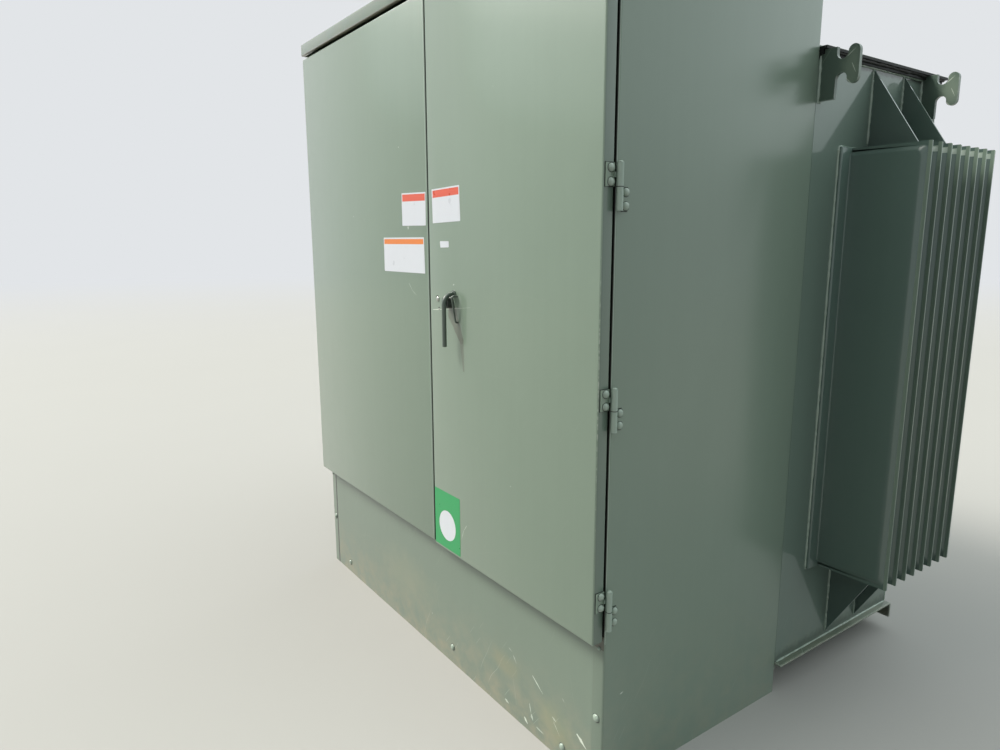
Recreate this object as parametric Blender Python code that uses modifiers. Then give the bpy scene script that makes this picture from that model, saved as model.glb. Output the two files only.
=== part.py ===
# Three-phase pad-mounted power transformer, in metres, +Z up.
# The doors face -Y. The origin is on the ground under the middle of the whole.
# Lengths from front to back are counted from the cabinet's front plane, where the sill stands.

import math

import bmesh
import bpy
from mathutils import Matrix, Vector

# Cabinet
WIDTH = 1.794
HEIGHT = 2.25
CABINET_DEPTH = 0.771
SHEET = 0.003
BEND = 0.005
JAMB = 0.042
REAR_FLANGE = 0.03
SEAT = 0.0003
ROOF_RIM = 0.044
ROOF_LIP = 0.014
ROOF_SIDE_PLAY = 0.0008
ROOF_REAR_REACH = 0.02

# Doors
DOOR_FACE = 0.041
DOOR_GAP = 0.006
DOOR_BOTTOM = 0.449
LEFT_DOOR_RISE = 0.007
DOOR_TOP_GAP = 0.014
DOOR_LIP = 0.022
RIGHT_DOOR_SHARE = 0.789
MEETING_GAP = 0.006
SILL_RISE = 0.03
SILL_FLANGE = 0.05
SILL_END_GAP = 0.0003
STIFFENER_DEPTH = 0.022
STIFFENER_CROWN = 0.04
STIFFENER_FLANGE = 0.02
STIFFENER_END_GAP = 0.012

# Hinges
PIN_OUT = 0.0123
PIN_BACK = 0.0005
PIN_RADIUS = 0.004
PIN_PLAY = 0.0006
BARREL_RADIUS = 0.0083
BARREL_HALF = 0.053
BARREL_PLAY = 0.001
LEAF_REACH = 0.0355
LEAF_SHEET = 0.003
LEAF_TUCK = 0.0015
LEAF_TAB = 0.012
LEAF_TAB_SHEET = 0.0055
LEAF_TAB_PLAY = 0.0005
HINGE_COUNT = 4
HINGE_FROM_END = 0.09

# Handle on the right door
HANDLE_FROM_EDGE = 0.149
HANDLE_HEIGHT = 1.304
HANDLE_OUT = 0.0373
HANDLE_DROP = 0.159
ROD_RADIUS = 0.007
ROD_BEND = 0.03
ROD_HOLE_PLAY = 0.0006
BOSS_RADIUS = 0.0115
BOSS_OUT = 0.004
STAPLE_RADIUS = 0.003
STAPLE_ASIDE = 0.0178
STAPLE_DROP = 0.006
STAPLE_HEIGHT = 0.0795
STAPLE_OUT = 0.022
STAPLE_FOOT = 0.007
STAPLE_BEND = 0.006
GUARD_RADIUS = 0.018
GUARD_ASIDE = 0.021
GUARD_DROP = 0.027
GUARD_OUT = 0.022
GUARD_SUNK = 0.012
GUARD_WALL = 0.0025
CAM_LENGTH = 0.07
CAM_WIDTH = 0.03
CAM_SHEET = 0.005
CAM_SET_BACK = 0.016

# Tank
TANK_SIDE_STEP = 0.002
TANK_JOINT_GAP = 0.0005
TANK_DEPTH = 0.7035
WALL = 0.008
BASE_HEIGHT = 0.0954
BASE_PLATE = 0.006
BASE_LEDGE = 0.024
BASE_REAR_LEDGE = 0.004
BASE_APRON = 0.05
APRON_SHEET = 0.008
COVER_DROP = 0.26
COVER = 0.008
RIM = 0.012
RIM_WIDTH = 0.05
RIM_LEDGE = 0.01
COVER_LEDGE = 0.022
RAIL_WIDTH = 0.12
RAIL_REACH = 0.05
RAIL_INSET = 0.07

# Core and coils in the tank
CORE_HEIGHT = 1.35
CORE_STACK = 0.24
CORE_LEG = 0.2
COIL_PITCH = 0.5
COIL_RADIUS = 0.22
COIL_PLAY = 0.02

# Cooling fins
FIN_COUNT = 8
FIN_REAR_INSET = 0.1098
FIN_SET_BACK = 0.1905
FIN_REACH = 0.2387
FIN_BOTTOM = 0.396
FIN_TOP_DROP = 0.261
FIN_HEM = 0.012
FIN_HEM_SHEET = 0.003
FIN_SLOPE = 0.03
FIN_POCKET = 0.014
FIN_CORNER = 0.004
BANK_MARGIN = 0.055
BANK_RISE = 0.012
BANK_CHAMFER = 0.005
BANK_SHEET = 0.003

# Gussets and lifting lugs
GUSSET_SHEET = 0.006
GUSSET_BEHIND_FIN = 0.106
GUSSET_AHEAD_OF_LUG = 0.122
GUSSET_SNIPE = 0.012
UPPER_GUSSET_HEIGHT = 0.234
UPPER_GUSSET_WIDTH = 0.155
LOWER_GUSSET_HEIGHT = 0.275
LOWER_GUSSET_WIDTH = 0.16
GUSSET_TO_FIN = 0.005
LUG_SHEET = 0.012
LUG_FRONT_INSET = 0.0155
LUG_REAR_INSET = 0.1
LUG_HANG = 0.1244
LUG_STEM = 0.047
LUG_REACH = 0.112
LUG_HEAD = 0.033
LUG_NOTCH = 0.0165
LUG_NECK = 0.0348
LUG_NECK_RISE = 0.0845
LUG_PLAY = 0.001

# Inside the cabinet
BARRIER_FRONT = 0.03
BARRIER_BOTTOM = 0.04
BARRIER_TOP_GAP = 0.02
BARRIER_FLANGE = 0.03
HV_PLATE = (0.62, 0.5)
HV_DROP = 0.71
HV_SPACING = (0.2, 0.22)
HV_RADIUS = 0.05
HV_REACH = 0.12
LV_COUNT = 4
LV_PLATE = (0.62, 0.2)
LV_BELOW_GAUGES = 0.36
LV_SPACING = 0.15
LV_RADIUS = 0.045
LV_REACH = 0.13
PAD_SHEET = 0.012
SPADE_WIDTH = 0.1
SPADE_LENGTH = 0.16
SPADE_SHEET = 0.014
SPADE_HOLE = 0.0072
SPADE_PITCH = 0.0445
GAUGE_RADIUS = 0.055
GAUGE_DEPTH = 0.05
GAUGE_DROP = 0.21
GAUGE_SPACING = 0.16
VALVE_HEIGHT = 0.2
VALVE_RADIUS = 0.022
GROUND_HEIGHT = 0.16
GROUND_PAD = 0.06

HALF = WIDTH / 2
TANK_HALF = HALF - TANK_SIDE_STEP
TANK_FRONT = CABINET_DEPTH + TANK_JOINT_GAP
TANK_REAR = TANK_FRONT + TANK_DEPTH
COVER_TOP = HEIGHT - COVER_DROP
DOOR_TOP = HEIGHT - ROOF_RIM - DOOR_TOP_GAP
UNDER_ROOF = HEIGHT - BEND - SEAT
HINGE_STEP = (DOOR_TOP - DOOR_BOTTOM - 2 * HINGE_FROM_END) / (HINGE_COUNT - 1)
HINGE_HEIGHTS = [DOOR_BOTTOM + HINGE_FROM_END + HINGE_STEP * number for number in range(HINGE_COUNT)]
MEETING_X = HALF - RIGHT_DOOR_SHARE
HANDLE_X = MEETING_X + HANDLE_FROM_EDGE
WALL_BOTTOM = BASE_HEIGHT + SEAT + BASE_PLATE + SEAT
WALL_TOP = COVER_TOP - COVER - RIM - SEAT * 2
FIN_FIRST = TANK_FRONT + FIN_SET_BACK
FIN_PITCH = (TANK_DEPTH - FIN_SET_BACK - FIN_REAR_INSET) / (FIN_COUNT - 1)
FIN_TOP = COVER_TOP - FIN_TOP_DROP
LUG_PLACES = (TANK_FRONT + LUG_FRONT_INSET, TANK_REAR - LUG_REAR_INSET)
LUG_BOTTOM = WALL_TOP - LUG_HANG
GUSSET_PLACES = (FIN_FIRST + GUSSET_BEHIND_FIN, LUG_PLACES[1] - GUSSET_AHEAD_OF_LUG)
GAUGE_HEIGHT = COVER_TOP - GAUGE_DROP
LV_HEIGHT = GAUGE_HEIGHT - LV_BELOW_GAUGES
HV_HEIGHT = COVER_TOP - HV_DROP
FRONT_MOST = -(DOOR_FACE + HANDLE_OUT + ROD_RADIUS)
REAR_MOST = TANK_REAR + RAIL_REACH
MIDDLE = (FRONT_MOST + REAR_MOST) / 2
EMBED = 0.001

for old in list(bpy.data.objects):
    bpy.data.objects.remove(old)

parts = bpy.data.collections.new("power_transformer")
guides = bpy.data.collections.new("cutters_and_joined_shapes")
for holder in (parts, guides):
    bpy.context.scene.collection.children.link(holder)


def looks(name, colour, roughness, metallic=0.0):
    """A Principled material with one colour."""
    made = bpy.data.materials.new(name)
    made.use_nodes = True
    shader = made.node_tree.nodes["Principled BSDF"]
    shader.inputs["Base Color"].default_value = (*colour, 1.0)
    shader.inputs["Roughness"].default_value = roughness
    shader.inputs["Metallic"].default_value = metallic
    made.diffuse_color = (*colour, 1.0)
    return made


GREEN = looks("green_paint", (0.115, 0.17, 0.115), 0.38)
TANK_GREEN = looks("tank_paint", (0.1, 0.15, 0.105), 0.42)
DARK = looks("dark_steel", (0.03, 0.035, 0.032), 0.5, 0.6)
ZINC = looks("zinc_plate", (0.55, 0.55, 0.53), 0.35, 1.0)
EPOXY = looks("grey_epoxy", (0.25, 0.24, 0.23), 0.45)
TINNED = looks("tinned_copper", (0.62, 0.6, 0.56), 0.3, 1.0)
COPPER = looks("copper", (0.7, 0.36, 0.22), 0.35, 1.0)
BRASS = looks("brass", (0.6, 0.45, 0.2), 0.35, 1.0)
DIAL = looks("gauge_case", (0.06, 0.06, 0.065), 0.4)


def empty(name, place, parent=None):
    """A marker that pieces are placed by."""
    made = bpy.data.objects.new(name, None)
    parts.objects.link(made)
    made.location = place
    made.parent = parent
    return made


FRONT = empty("cabinet_front", (0, -MIDDLE, 0))
HINGES = {
    side: empty(f"{name}_hinge", (side * (HALF + PIN_OUT), PIN_BACK, 0), FRONT)
    for side, name in ((-1, "left_door"), (1, "right_door"))
}
PIVOT = empty("handle_pivot", (HANDLE_X, -DOOR_FACE, HANDLE_HEIGHT), FRONT)


def keep(obj, material, parent=FRONT):
    """Makes a shape a piece of the product, in cabinet coordinates under its parent."""
    guides.objects.unlink(obj)
    parts.objects.link(obj)
    obj.data.materials.clear()
    obj.data.materials.append(material)
    obj.hide_render = False
    obj.display_type = "TEXTURED"
    if parent is not FRONT:
        obj.parent = parent
        obj.location = obj.location - parent.location
    return obj


def guide(name, mesh, matrix=None):
    """A shape for joining or cutting, which is left out of the product until it is kept."""
    obj = bpy.data.objects.new(name, mesh)
    guides.objects.link(obj)
    obj.parent = FRONT
    if matrix is not None:
        obj.matrix_basis = matrix
    obj.hide_render = True
    obj.display_type = "WIRE"
    return obj


def from_bmesh(name, shape):
    mesh = bpy.data.meshes.new(name)
    bmesh.ops.recalc_face_normals(shape, faces=shape.faces)
    shape.to_mesh(mesh)
    shape.free()
    return guide(name, mesh)


def box(name, low, high, rounding=0.0):
    """A block between two corners."""
    low, high = Vector(low), Vector(high)
    size = Matrix.Diagonal((*(high - low), 1))
    shape = bmesh.new()
    bmesh.ops.create_cube(shape, size=1, matrix=Matrix.Translation((low + high) / 2) @ size)
    obj = from_bmesh(name, shape)
    if rounding:
        soften(obj, rounding)
    return obj


def rod(name, start, end, radius, sides=24):
    """A round bar between two points."""
    start, end = Vector(start), Vector(end)
    turn = (end - start).to_track_quat("Z", "Y").to_matrix().to_4x4()
    shape = bmesh.new()
    bmesh.ops.create_cone(
        shape, cap_ends=True, segments=sides, radius1=radius, radius2=radius,
        depth=(end - start).length, matrix=Matrix.Translation((start + end) / 2) @ turn,
    )
    return from_bmesh(name, shape)


def as_mesh(name, curve, matrix):
    """Turns a curve into a closed mesh shape."""
    drawn = bpy.data.objects.new(name, curve)
    guides.objects.link(drawn)
    graph = bpy.context.evaluated_depsgraph_get()
    mesh = bpy.data.meshes.new_from_object(drawn.evaluated_get(graph))
    bpy.data.objects.remove(drawn)
    shape = bmesh.new()
    shape.from_mesh(mesh)
    bmesh.ops.remove_doubles(shape, verts=shape.verts, dist=0.00001)
    bmesh.ops.recalc_face_normals(shape, faces=shape.faces)
    shape.to_mesh(mesh)
    shape.free()
    return guide(name, mesh, matrix)


UPRIGHT = Matrix.Rotation(math.pi / 2, 4, "X")


def plate(name, loops, thickness, place=(0, 0, 0), turn=Matrix.Identity(4)):
    """A flat plate cut to an outline, its middle plane at the place. More loops are holes."""
    curve = bpy.data.curves.new(name, "CURVE")
    curve.dimensions = "2D"
    curve.fill_mode = "BOTH"
    curve.extrude = thickness / 2
    for loop in loops:
        spline = curve.splines.new("POLY")
        spline.points.add(len(loop) - 1)
        for point, (x, y) in zip(spline.points, loop):
            point.co = (x, y, 0, 1)
        spline.use_cyclic_u = True
    return as_mesh(name, curve, Matrix.Translation(place) @ turn)


def wire(name, path, radius, resolution=3):
    """A round wire or bar along a path."""
    curve = bpy.data.curves.new(name, "CURVE")
    curve.dimensions = "3D"
    curve.bevel_depth = radius
    curve.bevel_resolution = resolution
    curve.use_fill_caps = True
    spline = curve.splines.new("POLY")
    spline.points.add(len(path) - 1)
    for point, place in zip(spline.points, path):
        point.co = (*place, 1)
    return as_mesh(name, curve, Matrix.Identity(4))


def arc(centre, radius, start, end, steps):
    """Points round a centre, angles in degrees."""
    angles = [math.radians(start + (end - start) * step / steps) for step in range(steps + 1)]
    return [(centre[0] + radius * math.cos(a), centre[1] + radius * math.sin(a)) for a in angles]


def bent(path, radius, steps=5):
    """A path with its inner corners rounded."""
    path = [Vector(point) for point in path]
    rounded = [path[0]]
    for before, corner, after in zip(path, path[1:], path[2:]):
        into, out = (before - corner).normalized(), (after - corner).normalized()
        half = into.angle(out) / 2
        reach = radius / math.tan(half)
        centre = corner + (into + out).normalized() * radius / math.sin(half)
        start, end = corner + into * reach - centre, corner + out * reach - centre
        rounded += [centre + start.slerp(end, step / steps).normalized() * radius for step in range(steps + 1)]
    return rounded + [path[-1]]


def soften(obj, width, segments=2, angle=30):
    """Rounds the sharp edges."""
    bevel = obj.modifiers.new("soften", "BEVEL")
    bevel.width = width
    bevel.segments = segments
    bevel.limit_method = "ANGLE"
    bevel.angle_limit = math.radians(angle)
    return bevel


def thicken(obj, thickness, offset=-1.0):
    """Gives a sheet its thickness."""
    solid = obj.modifiers.new("thickness", "SOLIDIFY")
    solid.thickness = thickness
    solid.offset = offset
    solid.use_even_offset = True
    return solid


def boolean(obj, other, operation):
    made = obj.modifiers.new(operation.lower(), "BOOLEAN")
    made.operation = operation
    made.object = other
    made.solver = "EXACT"


def join(obj, *others):
    for other in others:
        boolean(obj, other, "UNION")


def cut(obj, *others):
    for other in others:
        boolean(obj, other, "DIFFERENCE")


def bent_sheet(name, path, bottom, top, thickness=SHEET):
    """A folded sheet: a path seen from above, carried up from bottom to top."""
    shape = bmesh.new()
    corners = [shape.verts.new((x, y, bottom)) for x, y in path]
    edges = [shape.edges.new(pair) for pair in zip(corners, corners[1:])]
    grown = bmesh.ops.extrude_edge_only(shape, edges=edges)["geom"]
    raised = [item for item in grown if isinstance(item, bmesh.types.BMVert)]
    bmesh.ops.translate(shape, verts=raised, vec=(0, 0, top - bottom))
    mesh = bpy.data.meshes.new(name)
    shape.to_mesh(mesh)
    shape.free()
    obj = guide(name, mesh)
    soften(obj, BEND, 3)
    thicken(obj, thickness)
    return obj


def pan(name, width, length, depth, lip, matrix, lips="all", thickness=SHEET):
    """A pressed pan: a face with four walls and turned-in lips. It opens towards local +Z."""
    def ring(inset, height):
        x, y = width / 2 - inset, length / 2 - inset
        return [shape.verts.new((a, b, height)) for a, b in ((-x, -y), (x, -y), (x, y), (-x, y))]

    shape = bmesh.new()
    rings = [ring(0, 0), ring(0, depth)]
    if lips == "all":
        rings.append(ring(lip, depth))
    shape.faces.new(rings[0][::-1])
    for lower, upper in zip(rings, rings[1:]):
        for i in range(4):
            j = (i + 1) % 4
            shape.faces.new((lower[i], lower[j], upper[j], upper[i]))
    if lips == "front":
        y = -length / 2 + lip
        inner = [shape.verts.new((x, y, depth)) for x in (-width / 2, width / 2)]
        shape.faces.new((rings[1][0], rings[1][1], inner[1], inner[0]))
    bmesh.ops.recalc_face_normals(shape, faces=shape.faces)
    mesh = bpy.data.meshes.new(name)
    shape.to_mesh(mesh)
    shape.free()
    obj = guide(name, mesh, matrix)
    soften(obj, BEND, 3)
    thicken(obj, thickness)
    return obj


def turned(name, profile, place, turn=Matrix.Identity(4), steps=24):
    """A turned piece from its profile, given from the top down its outer side."""
    shape = bmesh.new()
    points = [shape.verts.new((radius, 0, height)) for radius, height in profile]
    for pair in zip(points, points[1:]):
        shape.edges.new(pair)
    mesh = bpy.data.meshes.new(name)
    shape.to_mesh(mesh)
    shape.free()
    obj = guide(name, mesh, Matrix.Translation(place) @ turn)
    screw = obj.modifiers.new("turn", "SCREW")
    screw.steps = screw.render_steps = steps
    screw.use_merge_vertices = True
    screw.merge_threshold = 0.0001
    return obj


# Cabinet

def cabinet_side(side, name):
    """A side panel with its front jamb, its rear flange and the fixed halves of its hinges."""
    outer, inner = side * HALF, side * (HALF - JAMB)
    rear = side * (HALF - REAR_FLANGE)
    path = [(inner, 0), (outer, 0), (outer, CABINET_DEPTH), (rear, CABINET_DEPTH)]
    panel = bent_sheet(name, path if side < 0 else path[::-1], 0, UNDER_ROOF)
    join(panel, *[fixed_leaf(side, height) for height in HINGE_HEIGHTS])
    return keep(panel, GREEN)


def fixed_leaf(side, height):
    """The lower half of a hinge on the side panel: its strap, its arm, its barrel and the pin."""
    place = (side * (HALF + PIN_OUT), PIN_BACK)
    length = BARREL_HALF - BARREL_PLAY / 2
    wall, face = -PIN_OUT - EMBED, -PIN_OUT + LEAF_SHEET
    strap = [(wall, LEAF_REACH), (face, LEAF_REACH), (face, BARREL_RADIUS * 2)]
    barrel = arc((0, 0), BARREL_RADIUS, 60, -200, 16)
    heel = [(wall, PIN_BACK + DOOR_GAP + LEAF_TUCK)]
    outline = [(side * x, y) for x, y in strap + barrel + heel]
    leaf = plate("fixed_leaf", [outline], length, (*place, height - BARREL_PLAY / 2 - length / 2))
    pin_top = height + BARREL_HALF - BARREL_PLAY
    join(leaf, rod("hinge_pin", (*place, height - BARREL_HALF / 2), (*place, pin_top), PIN_RADIUS, 16))
    return leaf


def door_leaf(side, height):
    """The upper half of a hinge on the door: its strap, and its barrel on a short tab."""
    place = (side * (HALF + PIN_OUT), PIN_BACK)
    length = BARREL_HALF - BARREL_PLAY / 2
    middle = height + BARREL_PLAY / 2 + length / 2
    rings = [arc((0, 0), radius, 0, 337.5, 15) for radius in (BARREL_RADIUS, PIN_RADIUS + PIN_PLAY)]
    barrel = plate("door_barrel", rings, length, (*place, middle))
    strap_end = -DOOR_GAP - LEAF_TUCK
    bars = ((-EMBED, LEAF_SHEET, PIN_BACK - LEAF_REACH, strap_end, length),
            (LEAF_TAB_PLAY, LEAF_TAB_PLAY + LEAF_TAB_SHEET, strap_end - LEAF_SHEET, -LEAF_TUCK, LEAF_TAB))
    for inner, outer, front, rear, tall in bars:
        low_x, high_x = sorted((side * (HALF + inner), side * (HALF + outer)))
        join(barrel, box("leaf_bar", (low_x, front, middle - tall / 2), (high_x, rear, middle + tall / 2)))
    return barrel


def cabinet_roof():
    """The roof pan, its rim hung over the side panels and flush with the doors."""
    width = WIDTH + 2 * (SHEET + ROOF_SIDE_PLAY)
    front, rear = -DOOR_FACE - SHEET, CABINET_DEPTH + ROOF_REAR_REACH
    place = Matrix.Translation((0, (front + rear) / 2, HEIGHT)) @ Matrix.Rotation(math.pi, 4, "X")
    turn = Matrix.Rotation(math.pi, 4, "Z")
    return keep(pan("cabinet_roof", width, rear - front, ROOF_RIM, ROOF_LIP, place @ turn, "front"), GREEN)


def cabinet_sill():
    """The sill under the doors, folded in along its top edge."""
    half = HALF - JAMB - SILL_END_GAP
    top = DOOR_BOTTOM + SILL_RISE
    shape = bmesh.new()
    rows = [
        [shape.verts.new((x, y, z)) for x in (-half, half)]
        for y, z in ((0, 0), (0, top), (SILL_FLANGE, top), (SILL_FLANGE, top - SILL_RISE))
    ]
    for lower, upper in zip(rows, rows[1:]):
        shape.faces.new((lower[0], lower[1], upper[1], upper[0]))
    mesh = bpy.data.meshes.new("cabinet_sill")
    shape.to_mesh(mesh)
    shape.free()
    sill = guide("cabinet_sill", mesh)
    soften(sill, BEND, 3)
    thicken(sill, SHEET)
    return keep(sill, GREEN)


def cabinet_back():
    """The strip that closes the cabinet above the tank."""
    half = HALF - BEND - SEAT
    front = CABINET_DEPTH - SHEET * 2 - SEAT
    low, high = (-half, front, COVER_TOP - RIM_WIDTH), (half, front + SHEET, UNDER_ROOF)
    return keep(box("cabinet_back", low, high), GREEN)


def barrier():
    """The steel barrier between the two compartments, with a flange on the tank."""
    rear = TANK_FRONT - SEAT
    path = [(MEETING_X, BARRIER_FRONT + SILL_FLANGE), (MEETING_X, rear), (MEETING_X + BARRIER_FLANGE, rear)]
    sheet = bent_sheet("compartment_barrier", path, BARRIER_BOTTOM, COVER_TOP - RIM_WIDTH - BARRIER_TOP_GAP)
    return keep(sheet, GREEN)


# Doors

def door(side, name):
    """A door pan with the moving halves of its hinges."""
    outer = side * HALF
    meeting = MEETING_X + side * MEETING_GAP / 2
    width, middle = abs(outer - meeting), (outer + meeting) / 2
    bottom = DOOR_BOTTOM if side > 0 else DOOR_BOTTOM + LEFT_DOOR_RISE
    height = DOOR_TOP - bottom
    place = Matrix.Translation((middle, -DOOR_FACE, bottom + height / 2))
    turn = Matrix.Rotation(-math.pi / 2, 4, "X")
    leaf = pan(name, width, height, DOOR_FACE - DOOR_GAP, DOOR_LIP, place @ turn)
    join(leaf, *[door_leaf(side, height) for height in HINGE_HEIGHTS])
    if side > 0:
        start = (HANDLE_X, -DOOR_FACE - SHEET * 2, HANDLE_HEIGHT)
        end = (HANDLE_X, -DOOR_FACE + SHEET * 2, HANDLE_HEIGHT)
        cut(leaf, rod("spindle_hole", start, end, ROD_RADIUS + ROD_HOLE_PLAY))
        aside = Vector((-GUARD_ASIDE, 0, -GUARD_DROP))
        cut(leaf, rod("guard_hole", Vector(start) + aside, Vector(end) + aside, GUARD_RADIUS + SEAT, 32))
    keep(leaf, GREEN, HINGES[side])
    stiffener(f"{name}_stiffener", middle, bottom, HINGES[side])


def stiffener(name, middle, bottom, hinge):
    """An upright hat section welded inside the door's face."""
    face = -DOOR_FACE + SHEET + SEAT
    crown, edge = STIFFENER_CROWN / 2, STIFFENER_CROWN / 2 + STIFFENER_FLANGE
    profile = [(edge, 0), (crown, 0), (crown, STIFFENER_DEPTH)]
    path = [(middle + x, face + y) for x, y in profile + [(-x, y) for x, y in reversed(profile)]]
    low, high = bottom + STIFFENER_END_GAP, DOOR_TOP - STIFFENER_END_GAP
    keep(bent_sheet(name, path, low, high, SHEET / 2), GREEN, hinge)


def handle():
    """The bent rod that turns the latch, with its cam inside the door."""
    inner = -DOOR_FACE + SHEET + CAM_SET_BACK
    outer = -DOOR_FACE - HANDLE_OUT
    path = [(HANDLE_X, inner, HANDLE_HEIGHT), (HANDLE_X, outer, HANDLE_HEIGHT),
            (HANDLE_X, outer, HANDLE_HEIGHT - HANDLE_DROP)]
    grip = wire("handle", bent(path, ROD_BEND), ROD_RADIUS)
    keep(grip, DARK, PIVOT)
    half = CAM_WIDTH / 2
    outline = arc((0, 0), half, 0, 180, 10) + arc((0, -CAM_LENGTH), half, 180, 360, 10)
    place = (HANDLE_X, inner + CAM_SHEET / 2 + SEAT, HANDLE_HEIGHT)
    keep(plate("latch_cam", [outline], CAM_SHEET, place, UPRIGHT), ZINC, PIVOT)


def handle_boss():
    hole = ROD_RADIUS + ROD_HOLE_PLAY
    loops = [arc((0, 0), BOSS_RADIUS, 0, 345, 23), arc((0, 0), hole, 0, 345, 23)]
    place = (HANDLE_X, -DOOR_FACE - SEAT - BOSS_OUT / 2, HANDLE_HEIGHT)
    boss = plate("handle_boss", loops, BOSS_OUT, place, UPRIGHT)
    return keep(boss, DARK, HINGES[1])


def padlock_staple():
    """The upright bent wire beside the pivot that takes a padlock."""
    x, y = HANDLE_X + STAPLE_ASIDE, -DOOR_FACE - SEAT
    top = HANDLE_HEIGHT - STAPLE_DROP
    low = top - STAPLE_HEIGHT
    path = [(x, y, top), (x, y - STAPLE_OUT, top), (x, y - STAPLE_FOOT, low), (x, y, low)]
    return keep(wire("padlock_staple", bent(path, STAPLE_BEND), STAPLE_RADIUS), DARK, HINGES[1])


def bolt_guard():
    """The round cup in the door that guards the locking bolt."""
    bore = GUARD_RADIUS - GUARD_WALL
    deep = -GUARD_SUNK
    profile = [(0, deep + GUARD_WALL), (bore, deep + GUARD_WALL), (bore, GUARD_OUT), (GUARD_RADIUS, GUARD_OUT),
               (GUARD_RADIUS, deep), (0, deep)]
    place = (HANDLE_X - GUARD_ASIDE, -DOOR_FACE, HANDLE_HEIGHT - GUARD_DROP)
    return keep(turned("bolt_guard", profile, place, UPRIGHT, 32), DARK, HINGES[1])


# Tank

def tank():
    """The tank: four walls on a base plate, with a rim and a bolted cover on top."""
    front, rear, half = TANK_FRONT, TANK_REAR, TANK_HALF
    inner = half - WALL - SEAT
    for name, y in (("tank_front_wall", front), ("tank_rear_wall", rear - WALL)):
        keep(box(name, (-inner, y, WALL_BOTTOM), (inner, y + WALL, WALL_TOP)), TANK_GREEN)
    for side, name in ((-1, "left"), (1, "right")):
        low_x, high_x = sorted((side * half, side * (half - WALL)))
        wall = box(f"tank_{name}_wall", (low_x, front, WALL_BOTTOM), (high_x, rear, WALL_TOP))
        join(wall, *[gusset(side, y, up) for y in GUSSET_PLACES for up in (-1, 1)])
        keep(wall, TANK_GREEN)
    low = (-half - BASE_LEDGE, front, BASE_HEIGHT + SEAT)
    high = (half + BASE_LEDGE, rear + BASE_REAR_LEDGE, BASE_HEIGHT + SEAT + BASE_PLATE)
    keep(box("tank_base", low, high, 0.002), TANK_GREEN)
    rim, cover = [
        [(-half - out, front), (half + out, front), (half + out, rear + out), (-half - out, rear + out)]
        for out in (RIM_LEDGE, COVER_LEDGE)
    ]
    hole, hole_front, hole_rear = half - RIM_WIDTH, front + RIM_WIDTH, rear - RIM_WIDTH
    opening = [(-hole, hole_front), (hole, hole_front), (hole, hole_rear), (-hole, hole_rear)]
    keep(plate("tank_rim", [rim, opening], RIM, (0, 0, COVER_TOP - COVER - SEAT - RIM / 2)), TANK_GREEN)
    keep(plate("tank_cover", [cover], COVER, (0, 0, COVER_TOP - COVER / 2)), TANK_GREEN)


def base_frame():
    """Two rails across the tank, tied by two bearers, and an apron that hangs under the base's rear edge."""
    half, wide = TANK_HALF - RAIL_INSET, TANK_HALF + BASE_LEDGE
    edge, rail_rear = TANK_REAR + BASE_REAR_LEDGE, TANK_REAR + RAIL_REACH
    rear = box("base_frame", (-half, rail_rear - RAIL_WIDTH, 0), (half, rail_rear, BASE_HEIGHT))
    apron = box("apron", (-wide, edge - APRON_SHEET, BASE_HEIGHT - BASE_APRON), (wide, edge, BASE_HEIGHT))
    front = box("front_rail", (-half, TANK_FRONT + SEAT, 0), (half, TANK_FRONT + RAIL_WIDTH, BASE_HEIGHT))
    wing = RAIL_WIDTH / 2
    ties = [
        box("tie", (x - wing, TANK_FRONT + wing, 0), (x + wing, TANK_REAR, BASE_HEIGHT))
        for x in (-half / 2, half / 2)
    ]
    join(rear, front, apron, *ties)
    return keep(rear, TANK_GREEN)


def core_and_coils():
    """The three-legged core with a coil on each leg, standing on the tank's base."""
    low = WALL_BOTTOM
    high = low + CORE_HEIGHT
    half = COIL_PITCH + CORE_LEG / 2
    bottom, top = low + CORE_LEG, high - CORE_LEG
    outline = [(-half, low), (half, low), (half, high), (-half, high)]
    windows = []
    for side in (-1, 1):
        inner, outer = side * CORE_LEG / 2, side * (COIL_PITCH - CORE_LEG / 2)
        windows.append([(inner, bottom), (outer, bottom), (outer, top), (inner, top)])
    y = (TANK_FRONT + TANK_REAR) / 2
    core = plate("core_and_coils", [outline] + windows, CORE_STACK, (0, y, 0), UPRIGHT)
    for number in (-1, 0, 1):
        x = number * COIL_PITCH
        join(core, rod("coil", (x, y, bottom + COIL_PLAY), (x, y, top - COIL_PLAY), COIL_RADIUS, 32))
    return keep(core, COPPER)


def gusset(side, y, up):
    """A triangular stiffener above or below the fins, its corner at the fins cut off."""
    if up > 0:
        base, width, height = FIN_TOP + GUSSET_TO_FIN, UPPER_GUSSET_WIDTH, UPPER_GUSSET_HEIGHT
    else:
        base, width, height = FIN_BOTTOM - GUSSET_TO_FIN, LOWER_GUSSET_WIDTH, LOWER_GUSSET_HEIGHT
    wall, snipe = TANK_HALF - WALL / 2, base + up * GUSSET_SNIPE
    corners = [(wall, snipe), (TANK_HALF, snipe), (TANK_HALF + GUSSET_SNIPE, base), (TANK_HALF + width, base),
               (TANK_HALF, base + up * height), (wall, base + up * height)]
    outline = [(side * x, z) for x, z in corners]
    return plate("gusset", [outline], GUSSET_SHEET, (0, y, 0), UPRIGHT)


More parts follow.
